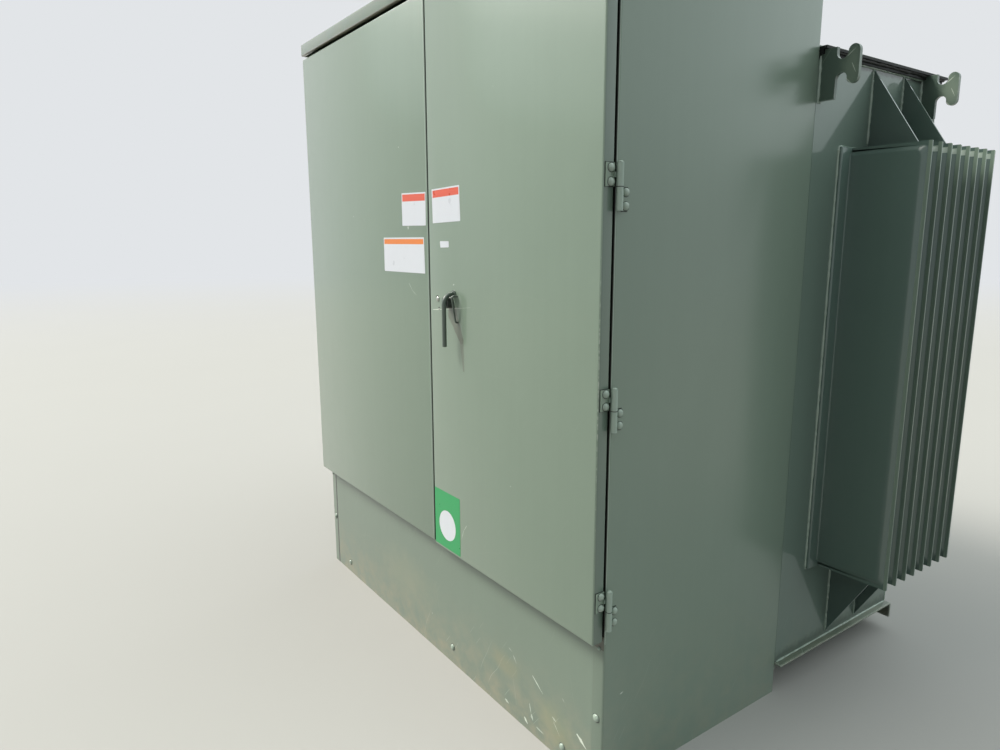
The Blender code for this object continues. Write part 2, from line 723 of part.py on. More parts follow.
def fin(side, y):
    """A pressed fin: flat hems round an inflated pocket that is open to the wall."""
    height = FIN_TOP - FIN_BOTTOM
    root = BANK_RISE / 2
    slope_in = FIN_HEM + FIN_SLOPE

    def loop(inset, rise, corner):
        x, z = FIN_REACH - root - inset, height / 2 - inset
        edge = [(x0 + corner * math.cos(math.radians(a)), z0 + corner * math.sin(math.radians(a)))
                for x0, z0, start in ((x - corner, z - corner, 0), (-x + corner, z - corner, 90),
                                      (-x + corner, -z + corner, 180), (x - corner, -z + corner, 270))
                for a in (start, start + 45, start + 90)]
        return [shape.verts.new((a, rise, b)) for a, b in edge]

    shape = bmesh.new()
    steps = [(slope_in, -FIN_POCKET / 2, FIN_SLOPE), (FIN_HEM, -FIN_HEM_SHEET / 2, FIN_SLOPE),
             (0, -FIN_HEM_SHEET / 2, FIN_CORNER), (0, FIN_HEM_SHEET / 2, FIN_CORNER),
             (FIN_HEM, FIN_HEM_SHEET / 2, FIN_SLOPE), (slope_in, FIN_POCKET / 2, FIN_SLOPE)]
    loops = [loop(*step) for step in steps]
    shape.faces.new(loops[0])
    shape.faces.new(loops[-1][::-1])
    for lower, upper in zip(loops, loops[1:]):
        for i in range(len(lower)):
            j = (i + 1) % len(lower)
            shape.faces.new((lower[i], lower[j], upper[j], upper[i]))
    everything = list(shape.verts) + list(shape.edges) + list(shape.faces)
    sliced = bmesh.ops.bisect_plane(shape, geom=everything, plane_co=(0, 0, 0), plane_no=(side, 0, 0),
                                    clear_inner=True)
    rim = [item for item in sliced["geom_cut"] if isinstance(item, bmesh.types.BMEdge)]
    bmesh.ops.edgeloop_fill(shape, edges=rim)
    middle = (FIN_BOTTOM + FIN_TOP) / 2
    bmesh.ops.translate(shape, verts=shape.verts, vec=(side * (TANK_HALF + SEAT + root), y, middle))
    return from_bmesh("fin", shape)


def cooling_bank(side, name):
    """A corrugated cooling wall: its border sheet and its fins."""
    last = FIN_FIRST + FIN_PITCH * (FIN_COUNT - 1)
    inner, outer = side * (TANK_HALF + SEAT), side * (TANK_HALF + SEAT + BANK_RISE)
    low_x, high_x = sorted((inner, outer))
    low = (low_x, FIN_FIRST - BANK_MARGIN, FIN_BOTTOM - BANK_SHEET)
    high = (high_x, last + BANK_MARGIN, FIN_TOP + BANK_SHEET)
    bank = box(name, low, high, BANK_CHAMFER)
    join(bank, *[fin(side, FIN_FIRST + FIN_PITCH * number) for number in range(FIN_COUNT)])
    return keep(bank, TANK_GREEN)


def lifting_lug(side, y, name):
    """A lifting lug: a stem on the wall and round the rim, a neck between two round notches and a head."""
    neck = LUG_BOTTOM + LUG_NECK_RISE
    under_rim, under_cover = WALL_TOP - SEAT, COVER_TOP - COVER - LUG_PLAY
    notch_x = LUG_STEM + LUG_NOTCH
    above, below = neck + LUG_NECK / 2 + LUG_NOTCH, neck - LUG_NECK / 2 - LUG_NOTCH
    head_x = LUG_REACH - LUG_HEAD / 2
    points = [(SEAT, LUG_BOTTOM), (LUG_STEM, LUG_BOTTOM)]
    points += arc((notch_x, below), LUG_NOTCH, 180, 20, 8)
    points += arc((head_x, below), LUG_HEAD / 2, 200, 360, 8)
    points += arc((head_x, above), LUG_HEAD / 2, 0, 160, 8)
    points += arc((notch_x, above), LUG_NOTCH, -20, -180, 8)
    points += [(LUG_STEM, under_cover), (RIM_LEDGE + LUG_PLAY, under_cover), (RIM_LEDGE + LUG_PLAY, under_rim),
               (SEAT, under_rim)]
    outline = [(side * (TANK_HALF + x), z) for x, z in points]
    return keep(plate(name, [outline], LUG_SHEET, (0, y, 0), UPRIGHT), TANK_GREEN)


# Inside the cabinet

def bushing_profile(radius, reach):
    """A stepped insulator that tapers towards its tip."""
    return [
        (0, reach), (radius * 0.5, reach), (radius * 0.56, reach * 0.94), (radius * 0.62, reach * 0.5),
        (radius * 0.7, reach * 0.3), (radius, reach * 0.26), (radius, -EMBED), (0, -EMBED),
    ]


def bushings(name, material, centre_x, size, height, places, radius, reach):
    """A mounting pad on the tank with its insulators."""
    front = TANK_FRONT - SEAT - PAD_SHEET
    low = (centre_x - size[0] / 2, front, height - size[1] / 2)
    high = (centre_x + size[0] / 2, front + PAD_SHEET, height + size[1] / 2)
    pad = box(name, low, high, 0.003)
    profile = bushing_profile(radius, reach)
    for x, z in places:
        join(pad, turned("insulator", profile, (centre_x + x, front, height + z), UPRIGHT))
    return keep(pad, material)


def spade(name, x, z):
    """A flat terminal blade with six bolt holes, at the tip of its insulator."""
    rear = TANK_FRONT - SEAT - PAD_SHEET - LV_REACH - SEAT
    half = SPADE_WIDTH / 2
    holes = [
        arc((a * SPADE_PITCH / 2, -SPADE_LENGTH + SPADE_PITCH * (b + 0.5)), SPADE_HOLE, 0, 330, 11)
        for a in (-1, 1) for b in range(3)
    ]
    outline = [(-half, -SPADE_LENGTH), (half, -SPADE_LENGTH), (half, 0), (-half, 0)]
    turn = Matrix.Rotation(math.pi / 2, 4, "Y")
    blade = plate(name, [outline] + holes, SPADE_SHEET, (x, rear, z), turn)
    return keep(blade, TINNED)


def gauge(name, x, z, radius, depth):
    """A dial gauge on the tank's front wall."""
    profile = [(0, depth * 0.94), (radius * 0.86, depth * 0.94), (radius * 0.88, depth), (radius, depth),
               (radius, depth * 0.5), (radius * 0.5, depth * 0.42), (radius * 0.5, 0), (0, 0)]
    return keep(turned(name, profile, (x, TANK_FRONT - SEAT, z), UPRIGHT), DIAL)


def drain_valve(x):
    """A drain valve low on the tank: its body, its bonnet and its round hand wheel."""
    y = TANK_FRONT - SEAT
    body = rod("drain_valve", (x, y, VALVE_HEIGHT), (x, y - VALVE_RADIUS * 5, VALVE_HEIGHT), VALVE_RADIUS)
    centre = y - VALVE_RADIUS * 3
    stem = (("bonnet", 0, 2.6, 0.6), ("wheel", 2.5, 2.9, 1.5))
    for piece, low, high, wide in stem:
        start, end = [(x, centre, VALVE_HEIGHT + VALVE_RADIUS * rise) for rise in (low, high)]
        join(body, rod(piece, start, end, VALVE_RADIUS * wide))
    return keep(body, BRASS)


def ground_pad(name, x):
    """A welded ground pad with its threaded hole."""
    half = GROUND_PAD / 2
    outline = [(-half, -half), (half, -half), (half, half), (-half, half)]
    place = (x, TANK_FRONT - SEAT - PAD_SHEET / 2, GROUND_HEIGHT)
    return keep(plate(name, [outline, arc((0, 0), SPADE_HOLE, 0, 330, 11)], PAD_SHEET, place, UPRIGHT), ZINC)


for side, name in ((-1, "left"), (1, "right")):
    cabinet_side(side, f"cabinet_{name}_side")
    door(side, f"{name}_door")
    cooling_bank(side, f"{name}_cooling_bank")
    for y, end in zip(LUG_PLACES, ("front", "rear")):
        lifting_lug(side, y, f"{name}_{end}_lifting_lug")

cabinet_roof()
cabinet_sill()
cabinet_back()
barrier()
handle()
handle_boss()
padlock_staple()
bolt_guard()
tank()
base_frame()
core_and_coils()

HV_CENTRE = (MEETING_X - HALF) / 2
LV_CENTRE = (MEETING_X + HALF) / 2
hv_places = [(a * HV_SPACING[0], b * HV_SPACING[1] / 2) for a in (-1, 0, 1) for b in (-1, 1)]
bushings("high_voltage_bushings", EPOXY, HV_CENTRE, HV_PLATE, HV_HEIGHT, hv_places, HV_RADIUS, HV_REACH)
lv_places = [((number - (LV_COUNT - 1) / 2) * LV_SPACING, 0) for number in range(LV_COUNT)]
bushings("low_voltage_bushings", EPOXY, LV_CENTRE, LV_PLATE, LV_HEIGHT, lv_places, LV_RADIUS, LV_REACH)
for number, (x, z) in enumerate(lv_places):
    spade(f"low_voltage_terminal_{number + 1}", LV_CENTRE + x, LV_HEIGHT)
for number, name in enumerate(("level_gauge", "thermometer", "pressure_gauge")):
    gauge(name, LV_CENTRE + (number - 1) * GAUGE_SPACING, GAUGE_HEIGHT, GAUGE_RADIUS, GAUGE_DEPTH)
drain_valve(LV_CENTRE)
ground_pad("high_voltage_ground_pad", HV_CENTRE)
ground_pad("low_voltage_ground_pad", LV_CENTRE + GAUGE_SPACING)
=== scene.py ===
import math
import random

import bmesh
import bpy
from mathutils import Matrix, Vector


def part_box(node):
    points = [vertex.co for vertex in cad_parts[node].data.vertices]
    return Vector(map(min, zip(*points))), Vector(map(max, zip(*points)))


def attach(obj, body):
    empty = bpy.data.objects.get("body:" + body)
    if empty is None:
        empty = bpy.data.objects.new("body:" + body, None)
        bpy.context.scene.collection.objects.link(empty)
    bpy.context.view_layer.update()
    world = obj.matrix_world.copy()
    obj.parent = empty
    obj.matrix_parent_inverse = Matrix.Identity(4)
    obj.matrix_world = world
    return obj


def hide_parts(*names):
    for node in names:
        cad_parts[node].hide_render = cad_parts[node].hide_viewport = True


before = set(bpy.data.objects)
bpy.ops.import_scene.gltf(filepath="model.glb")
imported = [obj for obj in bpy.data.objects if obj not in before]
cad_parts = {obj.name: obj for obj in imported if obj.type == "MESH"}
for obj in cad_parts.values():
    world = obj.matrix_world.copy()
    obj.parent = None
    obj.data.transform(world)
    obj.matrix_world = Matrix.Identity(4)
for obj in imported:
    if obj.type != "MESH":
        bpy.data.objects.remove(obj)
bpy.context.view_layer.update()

scene = bpy.context.scene
chance = random.Random(11)


def middle_of(name):
    """The middle of a node's box."""
    low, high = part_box(name)
    return (low + high) / 2


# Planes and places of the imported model, in metres
LEFT_LOW, LEFT_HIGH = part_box("left_door")
RIGHT_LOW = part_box("right_door")[0]
DOOR_Y, DOOR_TOP = LEFT_LOW.y, LEFT_HIGH.z
SILL_LOW, SILL_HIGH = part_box("cabinet_sill")
SILL_Y = SILL_LOW.y
ROOF_LOW, ROOF_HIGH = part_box("cabinet_roof")
WALL_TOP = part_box("tank_right_wall")[1].z
BASE_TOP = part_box("tank_base")[1].z
COVER_LOW, COVER_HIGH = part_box("tank_cover")
BANK_LOW, BANK_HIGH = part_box("right_cooling_bank")
LUG_LOW, LUG_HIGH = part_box("right_front_lifting_lug")
LUG_ROWS = [middle_of(f"right_{end}_lifting_lug").y for end in ("front", "rear")]
RIM_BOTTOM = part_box("tank_rim")[0].z
FRONT_WALL_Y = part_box("tank_front_wall")[0].y
REAR_WALL_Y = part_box("tank_rear_wall")[1].y
MEETING_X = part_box("compartment_barrier")[0].x
HANDLE_LOW, HANDLE_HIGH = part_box("handle")
PIVOT = middle_of("handle_boss")
PIVOT.y = DOOR_Y
HALF = 0.897
TANK_HALF = 0.895
HINGE_COUNT = 4
HINGE_FROM_END = 0.09
HINGE_STEP = (DOOR_TOP - RIGHT_LOW.z - 2 * HINGE_FROM_END) / (HINGE_COUNT - 1)
HINGE_HEIGHTS = [RIGHT_LOW.z + HINGE_FROM_END + HINGE_STEP * number for number in range(HINGE_COUNT)]
OUTWARD, UPWARD = (0, -1, 0), (0, 0, 1)
SIDES = ((-1, "left"), (1, "right"))


# Nodes

def screen(red, green, blue):
    """A colour from its 0 to 255 screen values."""
    parts = [value / 255 for value in (red, green, blue)]
    return (*[((v + 0.055) / 1.055) ** 2.4 if v > 0.04 else v / 12.92 for v in parts], 1.0)


class Value:
    """What a socket gives. Arithmetic on it adds math nodes."""

    def __init__(self, bench, socket):
        self.bench, self.socket = bench, socket

    def __add__(self, other):
        return self.bench.math("ADD", self, other)

    def __sub__(self, other):
        return self.bench.math("SUBTRACT", self, other)

    def __rsub__(self, other):
        return self.bench.math("SUBTRACT", other, self)

    def __mul__(self, other):
        return self.bench.math("MULTIPLY", self, other)

    def __truediv__(self, other):
        return self.bench.math("DIVIDE", self, other)

    def __pow__(self, other):
        return self.bench.math("POWER", self, other)

    def __abs__(self):
        return self.bench.math("ABSOLUTE", self)

    def clamped(self):
        return self.bench.add("Clamp", {"Value": self})[0]


class Node:
    """A node whose outputs are taken by name or number."""

    def __init__(self, bench, made):
        self.bench, self.made = bench, made

    def __getitem__(self, key):
        return Value(self.bench, self.made.outputs[key])


class Bench:
    """Adds nodes to one material, world or node group."""

    def __init__(self, tree):
        self.tree = tree

    def feed(self, socket, value):
        if isinstance(value, Value):
            self.tree.links.new(value.socket, socket)
        else:
            socket.default_value = value

    def add(self, kind, values=None, **settings):
        made = self.tree.nodes.new("ShaderNode" + kind)
        for key, value in settings.items():
            setattr(made, key, value)
        for key, value in (values or {}).items():
            self.feed(made.inputs[key], value)
        return Node(self, made)

    def group(self, name, **values):
        return self.add("Group", values, node_tree=GROUPS[name])

    def math(self, operation, *values):
        return self.add("Math", dict(enumerate(values)), operation=operation)[0]

    def vector(self, operation, *values):
        made = self.add("VectorMath", dict(enumerate(values)), operation=operation)
        return made["Value" if operation in ("DOT_PRODUCT", "LENGTH", "DISTANCE") else "Vector"]

    def scaled(self, vector, share):
        return self.add("VectorMath", {0: vector, "Scale": share}, operation="SCALE")[0]

    def mix(self, share, first, second):
        return self.add("Mix", {0: share, 6: first, 7: second}, data_type="RGBA")[2]

    def ramp(self, value, low, high, at_low=0.0, at_high=1.0):
        """A smooth step from one value to another."""
        values = {"Value": value, "From Min": low, "From Max": high, "To Min": at_low, "To Max": at_high}
        return self.add("MapRange", values, interpolation_type="SMOOTHSTEP")[0]

    def noise(self, place, scale, detail=2.0, roughness=0.5):
        values = {"Vector": place, "Scale": scale, "Detail": detail, "Roughness": roughness}
        return self.add("TexNoise", values)[0]

    def place(self):
        return self.add("TexCoord")["Object"]

    def parts(self, vector):
        made = self.add("SeparateXYZ", {0: vector})
        return made[0], made[1], made[2]

    def grey(self, tone):
        return self.add("CombineXYZ", {0: tone, 1: tone, 2: tone})[0]

    def within(self, low, high):
        """One inside a block between two corners, nothing outside it."""
        above = self.vector("SUBTRACT", self.place(), low)
        below = self.vector("SUBTRACT", high, self.place())
        nearest, *others = (*self.parts(above), *self.parts(below))
        for side in others:
            nearest = self.math("MINIMUM", nearest, side)
        return self.math("GREATER_THAN", nearest, 0.0)


def new_group(name, results=("mask",), **inputs):
    """A shader group with named sockets: its bench, given values and result sockets."""
    tree = bpy.data.node_groups.new(name, "ShaderNodeTree")
    for label, value in inputs.items():
        kind = {4: "Color", 3: "Vector"}[len(value)] if isinstance(value, tuple) else "Float"
        socket = tree.interface.new_socket(name=label, in_out="INPUT", socket_type="NodeSocket" + kind)
        socket.default_value = value
    for label in results:
        kind = "Color" if label == "colour" else "Float"
        tree.interface.new_socket(name=label, in_out="OUTPUT", socket_type="NodeSocket" + kind)
    bench = Bench(tree)
    given, result = tree.nodes.new("NodeGroupInput"), tree.nodes.new("NodeGroupOutput")
    return bench, Node(bench, given), result.inputs


def scratch_field():
    """Sparse fine scratches that run one way over any upright face."""
    bench, given, result = new_group("scratch_field", angle=0.5, spacing=0.03, length=0.15, share=0.1,
                                     width=0.0008)
    place = bench.place()
    x, y, up = bench.parts(place)
    side = x + y
    cosine, sine = bench.math("COSINE", given["angle"]), bench.math("SINE", given["angle"])
    across, along = side * cosine - up * sine, side * sine + up * cosine
    wander = bench.noise(place, 5.0, 1.0) * 1.1 - 0.55
    lane = across / given["spacing"] + wander
    row = bench.math("FLOOR", lane)
    shift = bench.add("TexWhiteNoise", {"W": row}, noise_dimensions="1D")[0]
    run = along / given["length"] + shift * 7.3
    cell = bench.add("CombineXYZ", {0: row, 1: bench.math("FLOOR", run), 2: 3.7})[0]
    chosen = bench.math("LESS_THAN", bench.add("TexWhiteNoise", {"Vector": cell})[0], given["share"])
    off_line = abs(bench.math("FRACT", lane) - 0.5)
    line = bench.ramp(off_line / (given["width"] / (given["spacing"] * 2.0)), 0.6, 1.6, 1.0, 0.0)
    ends = bench.ramp(abs(bench.math("FRACT", run) - 0.5), 0.2, 0.46, 1.0, 0.0)
    bench.feed(result["mask"], line * ends * chosen)
    return bench.tree


def along_way(bench, given, place):
    """How far a place lies along the way from start to end, and its distance from that line."""
    way = bench.vector("SUBTRACT", given["end"], given["start"])
    offset = bench.vector("SUBTRACT", place, given["start"])
    share = (bench.vector("DOT_PRODUCT", offset, way) / bench.vector("DOT_PRODUCT", way, way)).clamped()
    return share, bench.vector("DISTANCE", offset, bench.scaled(way, share))


ORIGIN = (0.0, 0.0, 0.0)


def line_mark():
    """One scratch, or one painted highlight line, from a start to an end, uneven along its length."""
    bench, given, result = new_group("line_mark", start=ORIGIN, end=(0.0, 0.0, 1.0), width=0.002)
    place = bench.place()
    share, distance = along_way(bench, given, place)
    rough = bench.noise(place, 90.0, 2.0) * 1.6 + 0.2
    taper = 1.15 - abs(share * 1.6 - 0.6)
    bench.feed(result["mask"], bench.ramp(distance / (given["width"] * rough * taper), 0.35, 0.65, 1.0, 0.0))
    return bench.tree


def tapered_run():
    """A mark with a fairly sharp edge that runs from a start to an end and changes width on its way; it
    paints the shadow below the latch.
    """
    bench, given, result = new_group("tapered_run", start=ORIGIN, end=(0.0, 0.0, 1.0), wide=0.02, narrow=0.01)
    place = bench.place()
    share, distance = along_way(bench, given, place)
    width = given["wide"] + (given["narrow"] - given["wide"]) * share
    reach = distance / width + (bench.noise(place, 55.0, 3.0) * 0.5 - 0.25)
    bench.feed(result["mask"], bench.ramp(reach, 0.8, 1.1, 1.0, 0.0))
    return bench.tree


def soft_spot():
    """A soft uneven stain round a centre, with its half sizes."""
    bench, given, result = new_group("soft_spot", centre=ORIGIN, size=(0.1, 0.1, 0.1))
    place = bench.place()
    offset = bench.vector("DIVIDE", bench.vector("SUBTRACT", place, given["centre"]), given["size"])
    distance = bench.vector("LENGTH", offset) + (bench.noise(place, 22.0, 4.0, 0.6) * 0.9 - 0.45)
    bench.feed(result["mask"], bench.ramp(distance, 0.2, 1.1, 1.0, 0.0))
    return bench.tree


# The paint's scratches: angle, spacing, length, share of places that have one, and width
SCRATCHES = ((0.62, 0.021, 0.06, 0.06, 0.0011), (0.5, 0.06, 0.2, 0.06, 0.0013),
             (-0.3, 0.05, 0.11, 0.035, 0.0009), (1.35, 0.09, 0.5, 0.03, 0.0008))
BLACK = (0.0, 0.0, 0.0, 1.0)


def painted_steel():
    """Sprayed paint on sheet steel: mottle, rain streaks, dust near the ground, specks and fine scratches."""
    results = ("colour", "roughness", "height")
    bench, given, result = new_group("painted_steel", results, paint=BLACK, dust_colour=BLACK, bare=BLACK,
                                     dust_top=0.5, dust=0.3, scratches=0.5, gloss=0.3)
    place = bench.place()
    up = bench.parts(place)[2]
    broad, cloud = bench.noise(place, 1.3, 3.0), bench.noise(place, 9.0, 4.0, 0.6)
    grain = bench.noise(place, 420.0, 2.0)
    streak = bench.noise(bench.vector("MULTIPLY", place, (34.0, 34.0, 1.1)), 1.0, 3.0, 0.6)
    tone = (broad * 0.1 + 0.95) * (cloud * 0.05 + 0.975) * (streak * 0.05 + 0.975)
    paint = bench.vector("MULTIPLY", given["paint"], bench.grey(tone))
    low = (1.0 - up / given["dust_top"]).clamped() ** 1.7
    settled = low * bench.ramp(bench.noise(place, 14.0, 6.0, 0.65), 0.3, 0.75)
    dust = (settled * given["dust"]).clamped()
    cells = bench.add("TexVoronoi", {"Vector": place, "Scale": 13.0})
    picked = bench.math("LESS_THAN", bench.add("SeparateColor", {0: cells["Color"]})[0], 0.12)
    speck = bench.ramp(cells["Distance"], 0.02, 0.036, 1.0, 0.0) * picked
    worn = 0.0
    for angle, spacing, length, share, width in SCRATCHES:
        field = bench.group("scratch_field", angle=angle, spacing=spacing, length=length, share=share,
                            width=width)
        worn = bench.math("MAXIMUM", worn, field["mask"])
    where = (low ** 0.7 * 0.8 + 0.12) * bench.ramp(bench.noise(place, 3.1, 2.0), 0.35, 0.6, 0.15, 1.0)
    worn = bench.math("MAXIMUM", worn * given["scratches"] * where, speck * 0.55)
    bench.feed(result["colour"], bench.mix(worn, bench.mix(dust, paint, given["dust_colour"]), given["bare"]))
    rough = given["gloss"] + dust * 0.45 + (cloud * 0.1 - 0.05)
    bench.feed(result["roughness"], bench.math("MAXIMUM", rough, worn * 0.6).clamped())
    bench.feed(result["height"], grain * 0.09 + broad * 5.0 + bench.noise(place, 4.2, 1.0) - worn * 0.12)
    return bench.tree


def worn_edges():
    """Where a sharp edge has rubbed through its paint."""
    bench, given, result = new_group("worn_edges", radius=0.003, amount=0.5)
    round_normal = bench.add("Bevel", {"Radius": given["radius"]}, samples=4)[0]
    flat_normal = bench.add("NewGeometry")["Normal"]
    edge = bench.ramp(bench.vector("DOT_PRODUCT", round_normal, flat_normal), 0.995, 0.9)
    broken = bench.ramp(bench.noise(bench.place(), 75.0, 5.0, 0.7), 0.85 - given["amount"], 0.9)
    bench.feed(result["mask"], (edge * broken).clamped())
    return bench.tree


GROUPS = {}
for build in (scratch_field, line_mark, tapered_run, soft_spot, worn_edges, painted_steel):
    GROUPS[build.__name__] = build()


def new_material(name, **constants):
    """A Principled material, its bench and its shader, which holds the values that are the same all over."""
    made = bpy.data.materials.new(name)
    made.use_nodes = True
    shader = made.node_tree.nodes["Principled BSDF"]
    for key, value in constants.items():
        shader.inputs[key.replace("_", " ")].default_value = value
    return made, Bench(made.node_tree), shader


PAINT = screen(117, 134, 119)
DUST = screen(166, 156, 130)
BARE = screen(196, 205, 192)
# The pale of real scratches, also used for painted highlight lines along the doors' outer edges
SCRATCH_AND_HIGHLIGHT_PALE = screen(214, 222, 208)
RUBBED = screen(184, 190, 178)
# Near-black green painted as shade into the gaps between doors, jambs and sill, and on the tank wall under
# its rim
PAINTED_SHADE = screen(28, 31, 27)


def painted(name, paint=PAINT, gloss=0.38, dust_top=0.6, dust=0.45, scratches=0.6, coat=1.0, blur=0.025,
            marks=(), stains=(), bands=(), runs=(), zones=(), edges=0.0, wear=0.004):
    """The unit's green paint, with the marks, stains, level bands, runs and tinted zones of one piece; many
    of these are painted shade, shadow or highlights.
    """
    made, bench, shader = new_material(name, Coat_Weight=coat, Coat_Roughness=blur, Specular_IOR_Level=0.25)
    skin = bench.group("painted_steel", paint=paint, dust_colour=DUST, bare=BARE, dust_top=dust_top,
                       dust=dust, scratches=scratches, gloss=gloss)
    colour, place = skin["colour"], bench.place()
    for centre, size, tint, strength in stains:
        spot = bench.group("soft_spot", centre=centre, size=size)
        colour = bench.mix(spot["mask"] * strength, colour, tint)
    for low, high, soft, tint, strength in bands:
        level = bench.parts(place)[2] + (bench.noise(place, 60.0, 3.0) * soft - soft / 2)
        inside = bench.ramp(level, low, low + soft) * bench.ramp(level, high - soft, high, 1.0, 0.0)
        colour = bench.mix(inside * strength, colour, tint)
    for start, end, wide, narrow, tint, strength in runs:
        run = bench.group("tapered_run", start=start, end=end, wide=wide, narrow=narrow)
        colour = bench.mix(run["mask"] * strength, colour, tint)
    for low, high, tint in zones:
        colour = bench.mix(bench.within(low, high), colour, tint)
    for start, end, width, strength in marks:
        line = bench.group("line_mark", start=start, end=end, width=width)
        colour = bench.mix(line["mask"] * strength, colour, SCRATCH_AND_HIGHLIGHT_PALE)
    if edges:
        colour = bench.mix(bench.group("worn_edges", radius=wear, amount=edges)["mask"], colour, RUBBED)
    bench.feed(shader.inputs["Base Color"], colour)
    bench.feed(shader.inputs["Roughness"], skin["roughness"])
    bump = bench.add("Bump", {"Height": skin["height"], "Strength": 1.0, "Distance": 0.0008})
    bench.feed(shader.inputs["Normal"], bump[0])
    return made


PAD_BACK = FRONT_WALL_Y - 0.0134


def plain(name, colour, roughness, spread=0.12, scale=30.0, bump=0.0003, pad=False, **constants):
    """A finish with a slight uneven tone, sheen and surface. A pad is painted where it lies on the tank."""
    made, bench, shader = new_material(name, **constants)
    place = bench.place()
    cloud = bench.noise(place, scale, 5.0, 0.6)
    tones = bench.grey(cloud * (2 * spread) + (1.0 - spread))
    if pad:
        behind = bench.math("GREATER_THAN", bench.parts(place)[1], PAD_BACK)
        colour = bench.mix(behind, colour, PAINT)
    bench.feed(shader.inputs["Base Color"], bench.vector("MULTIPLY", colour if pad else colour[:3], tones))
    bench.feed(shader.inputs["Roughness"], (cloud * 0.16 + (roughness - 0.08)).clamped())
    height = bench.noise(place, scale * 9.0, 3.0)
    uneven = bench.add("Bump", {"Height": height, "Strength": 0.6, "Distance": bump})
    bench.feed(shader.inputs["Normal"], uneven[0])
    return made


# Marks and tints of the paint, with painted shade, shadow and highlights

def strokes(y, rows):
    """Scratches or painted highlight lines on an upright face: from x and z to x and z, with a width and a
    strength.
    """
    return [((x, y, z), (to_x, y, to_z), width, strength) for x, z, to_x, to_z, width, strength in rows]


def zone(x, y, z, tint):
    """A block with its own tint, given by its two limits along each axis."""
    return (*[tuple(limits[end] for limits in (x, y, z)) for end in (0, 1)], tint)


def both_sides(near, far):
    """The limits of one stretch of x and of its mirror image."""
    return (-far, -near), (near, far)


def round_of(middle, reach, past=None):
    """The limits of a stretch round a middle."""
    return middle - reach, middle + (reach if past is None else past)


ANY = (-3.0, 3.0)
INSIDE = HALF - 0.0004
# Pale lines painted as highlights along the edges of the doors, their lips and the side panels' front edges
PAINTED_EDGE_HIGHLIGHT = screen(176, 190, 177)
SOFT_PAINTED_HIGHLIGHT = screen(152, 168, 154)
LIP_GREEN = screen(98, 114, 102)
# Lighter green painted on the hinge barrels as painted light
BARREL_PAINTED_LIGHT = screen(146, 163, 150)
SILL_GREEN = screen(108, 123, 109)
# Brownish grey band below the doors on the sill and jamb: partly dirt, partly the doors' painted shadow
DOOR_SHADOW_AND_DIRT = screen(92, 96, 82)
RUST_BROWN = screen(140, 124, 84)
LATCH_SHADOW_GREY = screen(98, 104, 91)
PAINTED_RIM_SHADE = screen(17, 20, 19)

SILL_MARKS = strokes(SILL_Y, (
    (0.8001, 0.1215, 0.8372, 0.0995, 0.0085, 0.9), (0.5993, 0.1932, 0.6483, 0.1605, 0.004, 0.7),
    (0.5607, 0.0323, 0.5764, 0.019, 0.008, 0.85), (0.5848, 0.0933, 0.5938, 0.0611, 0.004, 0.5),
    (0.5938, 0.0611, 0.6026, 0.0454, 0.008, 0.55), (0.694, 0.1119, 0.7102, 0.1058, 0.006, 0.4),
    (0.6982, 0.1001, 0.7267, 0.0687, 0.003, 0.35), (0.62, 0.035, 0.654, 0.0321, 0.005, 0.45),
    (0.5034, 0.2097, 0.5195, 0.1909, 0.004, 0.35), (0.4802, 0.2252, 0.4965, 0.2198, 0.003, 0.3),
    (0.4605, 0.0373, 0.4797, 0.0326, 0.007, 0.6), (0.736, 0.196, 0.7439, 0.1879, 0.003, 0.25)))
SILL_STAINS = [((0.7, SILL_Y, 0.09), (0.1, 0.05, 0.075), screen(146, 148, 112), 0.35),
               ((0.74, SILL_Y, 0.06), (0.05, 0.05, 0.045), RUST_BROWN, 0.12),
               ((0.46, SILL_Y, 0.16), (0.1, 0.05, 0.05), screen(142, 138, 104), 0.35),
               ((-0.2, SILL_Y, 0.2), (0.25, 0.05, 0.12), screen(136, 140, 116), 0.3)]
SILL_TOP, SHADE_LOW = 0.46, RIGHT_LOW.z - 0.028
SILL_END, SILL_FACE = SILL_HIGH.x, round_of(SILL_Y, 0.001)
# Painted shade in the seam at the sill's left end, and the band of dirt and painted door shadow below the
# doors
SILL_ZONES = [zone((-SILL_END - 0.001, -SILL_END + 0.006), round_of(SILL_Y, 0.002), (0.0, 0.47), PAINTED_SHADE),
              zone((-SILL_END + 0.006, MEETING_X), SILL_FACE, (LEFT_LOW.z - 0.029, 0.5), DOOR_SHADOW_AND_DIRT),
              zone((MEETING_X, SILL_END + 0.001), SILL_FACE, (SHADE_LOW, 0.5), DOOR_SHADOW_AND_DIRT)]

DOOR_MARKS = strokes(DOOR_Y, (
    (0.3108, 0.577, 0.2917, 0.5529, 0.0028, 0.35), (0.2917, 0.5529, 0.28, 0.5204, 0.0028, 0.4),
    (0.1275, 1.247, 0.207, 1.2536, 0.0022, 0.8), (0.207, 1.2536, 0.349, 1.269, 0.0018, 0.35),
    (-0.0289, 1.3239, -0.0058, 1.3002, 0.0022, 0.35), (-0.0058, 1.3002, 0.0223, 1.2852, 0.002, 0.3),
    (-0.025, 1.5106, -0.0244, 1.499, 0.005, 0.9), (0.2555, 1.3312, 0.2556, 1.3304, 0.007, 0.9)))
# Painted highlight lines along the doors' outer upright edges
DOOR_MARKS += strokes(DOOR_Y + 0.0008, [(x, RIGHT_LOW.z, x, DOOR_TOP, 0.0024, 0.5)
                                        for x in (0.0005 - HALF, HALF - 0.0005)])
